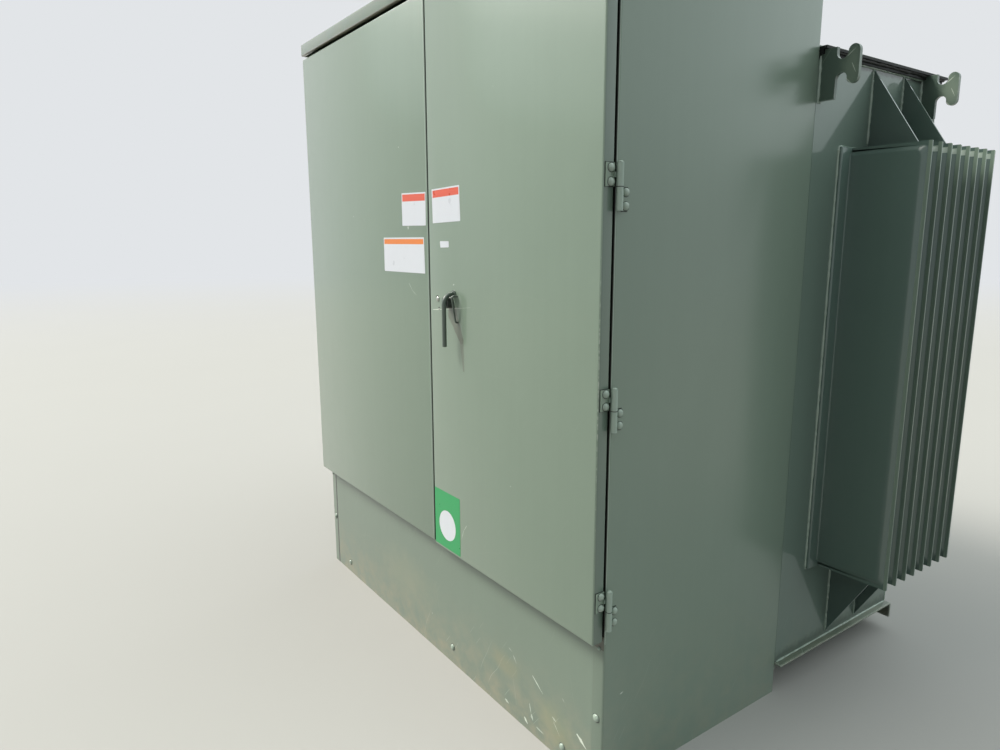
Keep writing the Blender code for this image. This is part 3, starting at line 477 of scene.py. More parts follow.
# Painted shadow of the handle and staple, running down the door below the latch
LATCH_SHADOW_RUNS = [((0.246, DOOR_Y, 1.243), (0.2955, DOOR_Y, 1.165), 0.027, 0.0115, LATCH_SHADOW_GREY, 0.85),
             ((0.2955, DOOR_Y, 1.165), (0.3054, DOOR_Y, 1.074), 0.0115, 0.004, LATCH_SHADOW_GREY, 0.6)]
GAP_DEPTH = DOOR_Y + 0.021
BEHIND_FACE = (DOOR_Y + 0.003, GAP_DEPTH)
FACE, THIN_FACE = round_of(DOOR_Y, 0.001, 0.003), round_of(DOOR_Y, 0.001, 0.002)
BARREL_SIDES = both_sides(HALF + 0.0042, HALF + 0.03)
RIGHT_EDGE = (LEFT_HIGH.x, RIGHT_LOW.x + 0.0024)
# Painted shade in the gap between the doors, above them and on their rear lips; painted highlights along
# their bottom, top, meeting and lip edges; painted light on the hinge barrels
DOOR_ZONES = [zone(round_of(MEETING_X, 0.0075), BEHIND_FACE, ANY, PAINTED_SHADE),
              zone((-INSIDE, INSIDE), BEHIND_FACE, (DOOR_TOP - 0.002, DOOR_TOP + 0.01), PAINTED_SHADE),
              zone((-INSIDE, INSIDE), (SILL_Y - 0.0068, SILL_Y), ANY, PAINTED_SHADE),
              zone((-HALF, LEFT_HIGH.x), FACE, (LEFT_LOW.z - 0.001, LEFT_LOW.z + 0.0026), PAINTED_EDGE_HIGHLIGHT),
              zone((RIGHT_LOW.x, HALF), FACE, (RIGHT_LOW.z - 0.001, RIGHT_LOW.z + 0.0022), PAINTED_EDGE_HIGHLIGHT),
              zone(RIGHT_EDGE, (DOOR_Y - 0.001, GAP_DEPTH), ANY, PAINTED_SHADE),
              zone((HALF - 0.0006, HALF + 0.002), (DOOR_Y + 0.0035, 0.0), ANY, LIP_GREEN)]
DOOR_ZONES += [zone(x, (SILL_Y - 0.0096, SILL_Y - 0.0068), ANY, PAINTED_EDGE_HIGHLIGHT)
               for x in both_sides(INSIDE, HALF + 0.001)]
DOOR_ZONES += [zone(x, round_of(SILL_Y, 0.03), ANY, BARREL_PAINTED_LIGHT) for x in BARREL_SIDES]
DOOR_ZONES += [zone((-HALF, HALF), THIN_FACE, (DOOR_TOP - 0.0026, DOOR_TOP - 0.0002), PAINTED_EDGE_HIGHLIGHT),
               zone((LEFT_HIGH.x - 0.0055, LEFT_HIGH.x), THIN_FACE, (LEFT_LOW.z, DOOR_TOP), SOFT_PAINTED_HIGHLIGHT)]

SIDE_MARKS = [((HALF, -0.6575, 0.2755), (HALF, -0.646, 0.2788), 0.004, 0.5)]
JAMB, JAMB_FACE = both_sides(SILL_END + 0.0007, INSIDE), round_of(SILL_Y, 0.001, 0.0008)
# Painted shade on the jambs behind the door gaps and in the seam at the sill's left end; the sill's green on
# the jambs below it; the band of dirt and door shadow at the right jamb; painted highlights along the side
# panels' front edges; painted light on the hinge barrels
SIDE_ZONES = [zone(x, (SILL_Y - 0.001, SILL_Y + 0.0012), (SILL_TOP, 2.19), PAINTED_SHADE)
              for x in both_sides(HALF - 0.0196, INSIDE)]
SIDE_ZONES += [zone(x, JAMB_FACE, (0.0, SILL_TOP), SILL_GREEN) for x in JAMB]
SIDE_ZONES += [zone((-SILL_END - 0.004, -SILL_END), round_of(SILL_Y, 0.001, 0.002), (0.0, SILL_TOP), PAINTED_SHADE),
               zone((SILL_END, HALF - 0.0006), JAMB_FACE, (SHADE_LOW, SILL_TOP), DOOR_SHADOW_AND_DIRT)]
SIDE_ZONES += [zone(x, (SILL_Y + 0.0006, SILL_Y + 0.0032), (0.44, 2.2), PAINTED_EDGE_HIGHLIGHT)
               for x in both_sides(HALF - 0.001, HALF + 0.001)]
SIDE_ZONES += [zone(x, round_of(SILL_Y, 0.03, 0.012), ANY, BARREL_PAINTED_LIGHT) for x in BARREL_SIDES]

ROOF_BANDS = [(ROOF_LOW.z - 0.01, ROOF_LOW.z + 0.0035, 0.001, screen(150, 142, 122), 0.6),
              (ROOF_LOW.z + 0.0035, ROOF_HIGH.z - 0.004, 0.004, screen(112, 124, 112), 0.3)]
# Painted shade: the edges of the tank's cover and rim are painted near black
COVER_BANDS = [(COVER_LOW.z - 0.03, COVER_HIGH.z - 0.0004, 0.0008, PAINTED_RIM_SHADE, 1.0)]
# Painted shade on the wall under the tank's rim, and the wall darker just above the base
WALL_BANDS = [(WALL_TOP - 0.018, WALL_TOP + 0.01, 0.012, PAINTED_SHADE, 0.9),
              (BASE_TOP - 0.02, BASE_TOP + 0.045, 0.035, screen(44, 56, 49), 0.55)]
# The gussets are painted darker than the wall as painted shade
GUSSET_SHADE_ZONES = [zone(x, ANY, ANY, screen(83, 101, 94))
                for x in both_sides(TANK_HALF + 0.0015, BANK_HIGH.x - 0.0645)]

# Between the fins the paint is darker, as painted shade; it is paler on their top slopes and at their outer
# edges, as painted highlights
FIN_GAP = (BANK_LOW.y + 0.064, BANK_HIGH.y)
FIN_SHADE_AND_HIGHLIGHT_ZONES = [zone(x, FIN_GAP, ANY, screen(42, 55, 47)) for x in both_sides(TANK_HALF, BANK_HIGH.x - 0.03)]
FIN_SHADE_AND_HIGHLIGHT_ZONES += [zone(round_of(0.0, BANK_HIGH.x - 0.01), FIN_GAP, (BANK_HIGH.z - 0.029, BANK_HIGH.z - 0.013),
                   screen(158, 173, 161))]
FIN_SHADE_AND_HIGHLIGHT_ZONES += [zone(x, ANY, ANY, tint)
              for width, tint in ((0.011, screen(122, 140, 126)), (0.0016, screen(150, 166, 153)))
              for x in both_sides(BANK_HIGH.x - width, BANK_HIGH.x)]

# Lighter heads on the lifting lugs: partly worn paint, partly painted light where the heads stand out of the
# cabinet's shade
LUG_HEAD = screen(122, 137, 122)
LUG_HEAD_LIGHT_AND_WEAR = [((side * (LUG_HIGH.x - 0.022), y, LUG_HIGH.z - 0.062), (0.042, 0.03, 0.085), LUG_HEAD, 0.7)
             for side, _ in SIDES for y in LUG_ROWS]
# Each from and to, as steps in from the lug's outer edge and down from its top
LUG_SCRATCHES = ((0.034, 0.03, 0.012, 0.012), (0.036, 0.085, 0.01, 0.112), (0.02, 0.05, 0.008, 0.075))
LUG_MARKS = [mark for side, _ in SIDES for y in LUG_ROWS for mark in strokes(y - 0.006, [
    (side * (LUG_HIGH.x - x), LUG_HIGH.z - z, side * (LUG_HIGH.x - to_x), LUG_HIGH.z - to_z, 0.0022, 0.6)
    for x, z, to_x, to_z in LUG_SCRATCHES])]


# Materials

door_paint = painted("door_paint", screen(122, 139, 123), dust=0.15, scratches=0.35, coat=0.8,
                     marks=DOOR_MARKS, runs=LATCH_SHADOW_RUNS, zones=DOOR_ZONES)
side_paint = painted("side_paint", screen(113, 130, 116), dust=0.2, scratches=0.2, coat=0.75, blur=0.24,
                     marks=SIDE_MARKS, zones=SIDE_ZONES)
sill_paint = painted("sill_paint", SILL_GREEN, dust_top=0.3, dust=0.6, scratches=0.5, marks=SILL_MARKS,
                     stains=SILL_STAINS, zones=SILL_ZONES)
roof_paint = painted("roof_paint", dust_top=9.0, dust=0.35, scratches=0.2, bands=ROOF_BANDS)
tank_paint = painted("tank_paint", screen(99, 117, 107), dust_top=0.4, dust=0.2, scratches=0.3, coat=0.8,
                     bands=WALL_BANDS, zones=GUSSET_SHADE_ZONES, blur=0.07)
cover_paint = painted("cover_paint", gloss=0.5, dust_top=9.0, dust=0.3, scratches=0.3, coat=0.0,
                      bands=COVER_BANDS)
fin_paint = painted("fin_paint", screen(86, 107, 99), dust=0.15, scratches=0.1, zones=FIN_SHADE_AND_HIGHLIGHT_ZONES, blur=0.1)
# The lugs' darker paint is painted shade from the cabinet
lug_paint = painted("lug_paint", screen(80, 97, 87), dust=0.2, scratches=0.9, coat=0.6, marks=LUG_MARKS,
                    stains=LUG_HEAD_LIGHT_AND_WEAR, edges=0.45, blur=0.1)
base_paint = painted("base_paint", screen(94, 107, 94), gloss=0.45, dust_top=0.2, dust=0.6, scratches=1.0,
                     coat=0.3, edges=0.75, wear=0.011)
# Bolts, pin caps and weld beads are painted a lighter green than the sheets they sit on, as painted light
bolt_paint = painted("bolt_paint", screen(142, 158, 144), gloss=0.2, dust=0.05, scratches=0.0)
weld_paint = painted("weld_paint", screen(140, 158, 144), gloss=0.26, dust=0.1, scratches=0.0)
cup_paint = painted("cup_paint", screen(46, 53, 47), gloss=0.34, dust=0.0, scratches=0.0)
handle_paint = painted("handle_paint", screen(77, 90, 80), gloss=0.34, dust=0.1, scratches=0.0, coat=0.8,
                       edges=0.3)
# Near black for painted shade: inside the latch cup, round bolt heads and rivets, round the hinge straps and
# between the hinge barrels
painted_shade_black = plain("painted_shade_black", screen(24, 26, 24), 0.6)
zinc = plain("zinc_plate", screen(190, 190, 184), 0.36, 0.1, 60.0, Metallic=1.0)
bright_wire = plain("bright_wire", screen(176, 180, 172), 0.34, 0.1, 80.0, Metallic=0.9)
tin = plain("tinned_copper", screen(206, 203, 196), 0.3, 0.08, 45.0, Metallic=1.0)
brass = plain("cast_brass", screen(178, 146, 84), 0.38, 0.14, 50.0, 0.0006, Metallic=1.0)
epoxy = plain("grey_epoxy", screen(120, 118, 112), 0.42, 0.06, 40.0, pad=True)
gasket_black = plain("gasket_black", screen(22, 24, 23), 0.55, 0.2, 60.0)
copper = plain("varnished_copper", screen(150, 92, 60), 0.4, 0.15, 25.0, Metallic=0.6)
case_black = plain("gauge_case", screen(46, 47, 48), 0.38, 0.08, 60.0)
dial_white = plain("dial_white", screen(232, 231, 224), 0.4, 0.02, 30.0, 0.0001)
VINYL = {"scale": 18.0, "bump": 0.00002, "Coat_Weight": 0.3, "Coat_Roughness": 0.1}
vinyl_white = plain("white_vinyl", screen(208, 212, 218), 0.3, 0.03, **VINYL)
vinyl_red = plain("red_vinyl", screen(214, 88, 60), 0.3, 0.04, **VINYL)
vinyl_orange = plain("orange_vinyl", screen(222, 124, 38), 0.3, 0.04, **VINYL)
vinyl_green = plain("green_vinyl", screen(30, 150, 84), 0.3, 0.04, **VINYL)


# Shapes

def piece(name, shape, body, materials, angle=35):
    """Makes a finished piece from a bmesh, in the model's own coordinates, riding on its body."""
    bmesh.ops.remove_doubles(shape, verts=shape.verts, dist=0.00001)
    bmesh.ops.recalc_face_normals(shape, faces=shape.faces)
    mesh = bpy.data.meshes.new(name)
    shape.to_mesh(mesh)
    shape.free()
    for material in materials:
        mesh.materials.append(material)
    for face in mesh.polygons:
        face.use_smooth = True
    mesh.set_sharp_from_angle(angle=math.radians(angle))
    obj = bpy.data.objects.new(name, mesh)
    scene.collection.objects.link(obj)
    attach(obj, body)
    return obj


def coloured(shape, before, material):
    """Gives the faces that a step added their material."""
    for face in shape.faces:
        if face not in before:
            face.material_index = material


def towards(start, way):
    """The turn and place that carry local Z from a start along a way."""
    turn = Vector(way).to_track_quat("Z", "Y").to_matrix().to_4x4()
    return Matrix.Translation(start) @ turn


def points_of(made):
    """The points among what a step made."""
    return [item for item in made["geom"] if isinstance(item, bmesh.types.BMVert)]


def everything_in(shape):
    """All points, edges and faces of a shape."""
    return [*shape.verts, *shape.edges, *shape.faces]


def rounded(shape, geom, size, segments=2, affect="EDGES"):
    """Rounds edges or corners off."""
    return bmesh.ops.bevel(shape, geom=geom, offset=size, segments=segments, profile=0.5, affect=affect,
                           material=-1)


def block(shape, low, high, bevel=0.0, segments=2, material=0):
    """A block between two corners, its edges rounded."""
    before = set(shape.faces)
    low, high = Vector(low), Vector(high)
    size = Matrix.Diagonal((*(high - low), 1))
    made = bmesh.ops.create_cube(shape, size=1, matrix=Matrix.Translation((low + high) / 2) @ size)["verts"]
    if bevel:
        rounded(shape, list({edge for vert in made for edge in vert.link_edges}), bevel, segments)
    coloured(shape, before, material)


def bar(shape, start, way, length, radius, sides=20, rim=0.0, material=0):
    """A round or many-sided bar along a way, its far rim rounded."""
    before = set(shape.faces)
    matrix = towards(start, way) @ Matrix.Translation((0, 0, length / 2))
    made = bmesh.ops.create_cone(shape, cap_ends=True, segments=sides, radius1=radius, radius2=radius,
                                 depth=length, matrix=matrix)["verts"]
    if rim:
        way = Vector(way).normalized()
        far = {vert for vert in made if (vert.co - Vector(start)).dot(way) > length / 2}
        edges = [edge for vert in far for edge in vert.link_edges if edge.other_vert(vert) in far]
        rounded(shape, list(set(edges)), rim)
    coloured(shape, before, material)


def turned(shape, profile, place, axis=(0, 0, 1), steps=24, material=0):
    """A turned form: a profile of radius and height, spun about an axis."""
    before = set(shape.faces)
    matrix = towards(place, axis)
    points = [shape.verts.new(matrix @ Vector((radius, 0, height))) for radius, height in profile]
    edges = [shape.edges.new(pair) for pair in zip(points, points[1:])]
    bmesh.ops.spin(shape, geom=points + edges, cent=place, axis=axis, dvec=(0, 0, 0), angle=math.tau,
                   steps=steps, use_merge=True)
    coloured(shape, before, material)


DOME = ((0, 1), (0.32, 0.97), (0.6, 0.83), (0.82, 0.58), (0.95, 0.28), (1, 0.04), (1, -0.04), (0, -0.04))


def dome(shape, place, way, radius, height, steps=16, material=0):
    """A domed bolt head."""
    turned(shape, [(radius * r, height * h) for r, h in DOME], place, way, steps, material)


def shade_ringed_dome(shape, place, way, radius, height):
    """A domed bolt head on a dark ring, painted shade round its foot."""
    bar(shape, Vector(place) - Vector(way) * 0.0004, way, 0.0008, radius * 1.1, 20, material=1)
    dome(shape, Vector(place) + Vector(way) * 0.0004, way, radius, height, 20)


def hex_bolt(shape, place, way, size, material=0):
    """A hexagon head on its washer."""
    way, washer = Vector(way).normalized(), size * 0.12
    head = Vector(place) + way * washer
    bar(shape, place, way, washer, size * 1.15, 20, material=material)
    bar(shape, head, way, size * 0.62, size * 0.86, 6, rim=size * 0.08, material=material)


def path_frames(path):
    """A turn and place at each point of a path, with no twist from one to the next."""
    path = [Vector(point) for point in path]
    ways = [(path[min(i + 1, len(path) - 1)] - path[max(i - 1, 0)]).normalized() for i in range(len(path))]
    turn = ways[0].to_track_quat("Z", "Y")
    frames = []
    for number, (point, way) in enumerate(zip(path, ways)):
        if number:
            turn = ways[number - 1].rotation_difference(way) @ turn
        frames.append(Matrix.Translation(point) @ turn.to_matrix().to_4x4())
    return frames


def sweep(shape, path, radius, sides=16, sizes=None, material=0):
    """A round bar along a path. Sizes scale it from point to point."""
    before = set(shape.faces)
    frames = path_frames(path)
    if sizes:
        frames = [matrix @ Matrix.Diagonal((size, size, 1, 1)) for matrix, size in zip(frames, sizes)]
    made = bmesh.ops.create_circle(shape, cap_ends=True, segments=sides, radius=radius, matrix=frames[0])
    face = made["verts"][0].link_faces[0]
    for last, matrix in zip(frames, frames[1:]):
        made = bmesh.ops.extrude_face_region(shape, geom=[face])
        face = next(item for item in made["geom"] if isinstance(item, bmesh.types.BMFace))
        bmesh.ops.transform(shape, matrix=matrix @ last.inverted(), verts=points_of(made))
    coloured(shape, before, material)


def bead(shape, start, end, radius, step=0.011, material=0):
    """A weld bead: a bar of uneven thickness, half sunk in its seam."""
    start, end = Vector(start), Vector(end)
    count = max(2, round((end - start).length / step))
    path = [start.lerp(end, number / count) for number in range(count + 1)]
    sizes = [0.5] + [chance.uniform(0.66, 1.2) for _ in path[2:]] + [0.5]
    sweep(shape, path, radius, 7, sizes, material)


def curve_points(centre, radius, start, end, steps, across, up):
    """Points of an arc, angles in degrees from the across direction towards the up direction."""
    centre, across, up = Vector(centre), Vector(across) * radius, Vector(up) * radius
    angles = [math.radians(start + (end - start) * step / steps) for step in range(steps + 1)]
    return [centre + across * math.cos(angle) + up * math.sin(angle) for angle in angles]


# Bolts on the hinges, the sill and the roof

BOLT_RADIUS, BOLT_RISE, WIDE_RADIUS = 0.0102, 0.0062, 0.0115
LEAF_OUT, SHEET_INNER = HALF + 0.003, HALF - 0.0032
LEAF_SHIFT, BOLT_SHIFT = 0.0265, 0.0155
BARREL_OUT, BARREL_Y = HALF + 0.0123, SILL_Y + 0.0005


def panel_nut(shape, place, way):
    """The nut of a bolt on the inner side of its sheet."""
    bar(shape, place, way, 0.006, 0.0085, 6, rim=0.0006, material=2)
    bar(shape, Vector(place) + Vector(way) * 0.006, way, 0.004, 0.0042, 12, material=2)


def hinge_bolts(side, name):
    """The bolts of one side's hinges, with their nuts, and the bolts at the sill's end; dark plates round the
    straps and dark discs between the barrels are painted shade.
    """
    out, into = Vector((side, 0, 0)), Vector((-side, 0, 0))
    near, far = sorted((side * (HALF + 0.0001), side * (HALF + 0.0008)))
    moving, fixed = bmesh.new(), bmesh.new()
    leaves = ((moving, SILL_Y - 0.0188, LEAF_SHIFT), (fixed, SILL_Y + 0.0295, -LEAF_SHIFT))
    # Dark plates just wider than the straps, as painted shade round them
    rings = ((moving, (-0.0364, -0.0085), (-0.0007, 0.0545)), (fixed, (0.0165, 0.0375), (-0.0545, 0.0009)))
    for height in HINGE_HEIGHTS:
        for step in (-BOLT_SHIFT, BOLT_SHIFT):
            for shape, y, shift in leaves:
                z = height + shift + step
                shade_ringed_dome(shape, (side * LEAF_OUT, y, z), out, BOLT_RADIUS, BOLT_RISE)
                panel_nut(shape, Vector((side * SHEET_INNER, y, z)), into)
        for shape, y, z in rings:
            low, high = (near, SILL_Y + y[0], height + z[0]), (far, SILL_Y + y[1], height + z[1])
            block(shape, low, high, material=1)
        # A dark disc between the barrels, as painted shade
        bar(fixed, (side * BARREL_OUT, BARREL_Y, height - 0.0009), UPWARD, 0.0018, 0.0087, 24, material=1)
    for x, z, size in ((0.8731, 0.217, WIDE_RADIUS), (0.8797, 0.4221, 0.005)):
        shade_ringed_dome(fixed, (side * x, SILL_Y, z), OUTWARD, size, BOLT_RISE)
    finishes = [bolt_paint, painted_shade_black, zinc]
    piece(f"{name}_door_hinge_bolts", moving, f"{name}_door", finishes)
    piece(f"{name}_side_bolts", fixed, "enclosure", finishes)


def barrel_caps(side, name):
    """The rounded end of each pin on its upper barrel."""
    shape = bmesh.new()
    for height in HINGE_HEIGHTS:
        dome(shape, (side * BARREL_OUT, BARREL_Y, height + 0.0534), UPWARD, 0.0074, 0.0045, 18)
    piece(f"{name}_hinge_caps", shape, f"{name}_door", [bolt_paint])


for side, name in SIDES:
    hinge_bolts(side, name)
    barrel_caps(side, name)

sill_bolts = bmesh.new()
for x, z in ((-0.726, 0.045), (0.146, 0.061), (0.737, 0.043)):
    shade_ringed_dome(sill_bolts, (x, SILL_Y, z), OUTWARD, WIDE_RADIUS, BOLT_RISE)
piece("sill_bolts", sill_bolts, "enclosure", [bolt_paint, painted_shade_black])

roof_bolts = bmesh.new()
for side, _ in SIDES:
    for y in (ROOF_LOW.y + 0.1, (ROOF_LOW.y + ROOF_HIGH.y) / 2 + 0.03, ROOF_HIGH.y - 0.06):
        place = (side * ROOF_HIGH.x, y, ROOF_LOW.z + 0.021)
        shade_ringed_dome(roof_bolts, place, (side, 0, 0), BOLT_RADIUS, BOLT_RISE)
piece("roof_bolts", roof_bolts, "enclosure", [bolt_paint, painted_shade_black])


# Latch on the right door

def latch_handle():
    """The bent handle rod, its free end rounded off."""
    radius, bend = 0.007, 0.03
    out, end = HANDLE_LOW.y + radius, HANDLE_LOW.z
    path = [Vector((PIVOT.x, y, PIVOT.z)) for y in (HANDLE_HIGH.y, DOOR_Y, out + bend)]
    path += curve_points((PIVOT.x, out + bend, PIVOT.z - bend), bend, 90, 180, 12, (0, 1, 0), UPWARD)[1:]
    path += [Vector((PIVOT.x, out, z)) for z in (end + 0.06, end + 0.0025, end + 0.0008, end)]
    shape = bmesh.new()
    sweep(shape, path, radius, 28, [1] * (len(path) - 2) + [0.96, 0.8])
    made = piece("latch_handle", shape, "handle", [handle_paint], 40)
    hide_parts("handle")


def handle_collar():
    """The collar that the handle's spindle turns in."""
    shape = bmesh.new()
    bore = 0.0076
    turned(shape, [(bore, 0.0004), (0.0109, 0.0004), (0.0115, 0.001), (0.0115, 0.0036), (0.0105, 0.0042),
                   (bore, 0.0042), (bore, 0.0004)], PIVOT, OUTWARD, 32)
    made = piece("handle_collar", shape, "right_door", [handle_paint])
    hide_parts("handle_boss")


def bolt_cup():
    """The cup round the locking bolt, with painted shade inside it, and the bolt's five-sided head."""
    low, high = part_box("bolt_guard")
    middle = middle_of("bolt_guard")
    middle.y = DOOR_Y
    radius, out, deep = (high.x - low.x) / 2, DOOR_Y - low.y, DOOR_Y - high.y
    bore = radius - 0.0025
    shape = bmesh.new()
    profile = [(0, deep + 0.0025), (bore, deep + 0.0025), (bore, out - 0.0006), (bore + 0.0006, out),
               (radius - 0.0006, out), (radius, out - 0.0006), (radius, deep), (0, deep)]
    turned(shape, profile, middle, OUTWARD, 36)
    for face in shape.faces:
        offset = face.calc_center_median() - middle
        if math.hypot(offset.x, offset.z) < bore + 0.0001:
            face.material_index = 1
    foot = middle + Vector((0, -deep - 0.0026, 0))
    bar(shape, foot, OUTWARD, 0.012, 0.009, 5, rim=0.001, material=2)
    bar(shape, foot, OUTWARD, 0.002, 0.0125, 24, rim=0.0005, material=2)
    made = piece("locking_bolt_cup", shape, "right_door", [cup_paint, painted_shade_black, zinc])
    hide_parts("bolt_guard")


def wire_staple():
    """The padlock's staple: a wire that runs out, bends, slopes back down and ends in the door."""
    radius, foot, bend = 0.003, DOOR_Y - 0.007, Vector((0, 0.008, 0))
    low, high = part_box("padlock_staple")
    x, top, bottom = (low.x + high.x) / 2, high.z - radius, low.z + radius
    corner, knee = Vector((x, low.y + radius, top)), Vector((x, foot, bottom))
    slope = (knee - corner).normalized()
    path = [Vector((x, DOOR_Y - 0.0003, top)), corner + bend]
    path += [corner + bend * (1 - t) ** 2 + slope * bend.y * t ** 2 for t in (0.2, 0.4, 0.6, 0.8, 1)]
    path += [knee - slope * 0.005, knee - slope * 0.0025]
    path += [knee + Vector((0, 0.002, 0.0002)), Vector((x, DOOR_Y - 0.0003, bottom))]
    shape = bmesh.new()
    sweep(shape, path, radius, 16)
    made = piece("bent_wire_staple", shape, "right_door", [handle_paint], 50)
    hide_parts("padlock_staple")


def latch_rivets():
    """Two bright rivets beside the handle, each on a dark ring set off up and to the left as painted shade.
    """
    shape = bmesh.new()
    for x, z, size, shift in ((0.16, 1.283, 0.0078, 0.0026), (0.168, 1.252, 0.0032, 0.0028)):
        turned(shape, [(0, 0.0006), (size * 1.1, 0.0006), (size * 1.1, -0.0006), (0, -0.0006)],
               (x - shift * 0.7, DOOR_Y, z + shift), OUTWARD, 28, 1)
        dome(shape, (x, DOOR_Y - 0.0007, z), OUTWARD, size, size * 0.5, 28)
    piece("latch_rivets", shape, "right_door", [bright_wire, painted_shade_black])


latch_handle()
handle_collar()
bolt_cup()
wire_staple()
latch_rivets()


# Labels: blank, with plain colour bands

LABEL_SHEET, LABEL_CORNER = 0.0004, 0.0025
LABEL_TOP = DOOR_Y - LABEL_SHEET - 0.00012
INK = 0.00008


def sticker(shape, corners, y, sheet, rounding=0.0, material=0):
    """A flat sheet that faces forward, given by its corners as x and z."""
    before = set(shape.faces)
    points = [shape.verts.new((x, y, z)) for x, z in corners]
    shape.faces.new(points)
    if rounding:
        rounded(shape, points, rounding, 3, "VERTICES")
    made = bmesh.ops.extrude_face_region(shape, geom=[face for face in shape.faces if face not in before])
    bmesh.ops.translate(shape, verts=points_of(made), vec=(0, -sheet, 0))
    coloured(shape, before, material)


def label(name, body, corners, field, bands=()):
    """A blank label on a door, with plain bands given in shares of its width and height."""
    shape = bmesh.new()
    sticker(shape, corners, DOOR_Y - 0.0001, LABEL_SHEET, LABEL_CORNER)
    bottom_left, bottom_right, top_right, top_left = [Vector(corner) for corner in corners]
    for number, (low_x, low_z, high_x, high_z, _) in enumerate(bands, 1):
        spots = [bottom_left.lerp(bottom_right, x).lerp(top_left.lerp(top_right, x), z)
                 for x, z in ((low_x, low_z), (high_x, low_z), (high_x, high_z), (low_x, high_z))]
        sticker(shape, spots, LABEL_TOP, INK, material=number)
    piece(name, shape, body, [field, *[material for *_, material in bands]])


RED_HEADER = [(0.03, 0.745, 0.97, 0.955, vinyl_red)]
ORANGE_HEADER = [(0.015, 0.81, 0.985, 0.955, vinyl_orange)]
label("left_door_red_label", "left_door",
      [(-0.0632, 1.5118), (0.0936, 1.5099), (0.0964, 1.6129), (-0.0634, 1.6172)], vinyl_white, RED_HEADER)
label("right_door_red_label", "right_door",
      [(0.1387, 1.5158), (0.2977, 1.5189), (0.2942, 1.6217), (0.1352, 1.618)], vinyl_white, RED_HEADER)
label("orange_label", "left_door",
      [(-0.2049, 1.3588), (0.0824, 1.3587), (0.0796, 1.4734), (-0.2052, 1.4739)], vinyl_white, ORANGE_HEADER)
label("small_label", "right_door",
      [(0.1816, 1.4415), (0.2307, 1.4426), (0.2306, 1.4611), (0.1793, 1.4612)], vinyl_white)


def green_label():
    """A green sticker with a plain white disc."""
    low_x, low_z, high_x, high_z = 0.1155, 0.457, 0.2715, 0.6525
    corners = [(low_x, low_z), (high_x, low_z), (high_x, high_z), (low_x, high_z)]
    label("green_label", "right_door", corners, vinyl_green)
    disc, middle = 0.051, ((low_x + high_x) / 2, LABEL_TOP, 0.538)
    shape = bmesh.new()
    turned(shape, [(0, INK), (disc, INK), (disc, 0), (0, 0)], middle, OUTWARD, 64)
    piece("green_label_disc", shape, "right_door", [vinyl_white])


green_label()


# Cooling banks

FIN_COUNT = 8
HEM, HEM_SHEET, SLOPE, POCKET = 0.011, 0.0026, 0.014, 0.016
FIN_LOW, FIN_HIGH = BANK_LOW.z + 0.003, BANK_HIGH.z - 0.003
BANK_ROOT = TANK_HALF + 0.0003
BANK_RISE = 0.012
FIN_MARGIN = 0.055


def fin(shape, reach, height, middle):
    """A pressed fin: flat hems round an inflated pocket with sloping shoulders, open to the tank."""
    rings = [(0.0, HEM_SHEET / 2, 0.004), (HEM, HEM_SHEET / 2, 0.01)]
    for step, rise in ((0.12, 0.07), (0.3, 0.27), (0.5, 0.54), (0.7, 0.79), (0.86, 0.94), (1.0, 1.0)):
        bulge = HEM_SHEET / 2 + (POCKET - HEM_SHEET) / 2 * rise
        rings.append((HEM + SLOPE * step, bulge, 0.01 + 0.012 * step))
    rings = [(inset, -y, corner) for inset, y, corner in reversed(rings)] + rings
    loops = []
    for number, (inset, y, corner) in enumerate(rings):
        size = Matrix.Diagonal((2 * (reach - inset), height - 2 * inset, 1, 1))
        matrix = Matrix.Translation((0, y, middle)) @ Matrix.Rotation(math.pi / 2, 4, "X") @ size
        points = bmesh.ops.create_grid(shape, x_segments=1, y_segments=1, size=0.5, matrix=matrix)["verts"]
        made = rounded(shape, points, corner, 5, "VERTICES")
        face = max({f for v in made["verts"] for f in v.link_faces}, key=lambda f: len(f.verts))
        loops.append(list(face.edges))
        if number not in (0, len(rings) - 1):
            bmesh.ops.delete(shape, geom=[face], context="FACES_ONLY")
    for lower, upper in zip(loops, loops[1:]):
        bmesh.ops.bridge_loops(shape, edges=lower + upper)
    cut = bmesh.ops.bisect_plane(shape, geom=everything_in(shape), plane_co=(0, 0, 0), plane_no=(1, 0, 0),
                                 clear_inner=True)
    rim = [item for item in cut["geom_cut"] if isinstance(item, bmesh.types.BMEdge)]
    bmesh.ops.edgeloop_fill(shape, edges=rim)


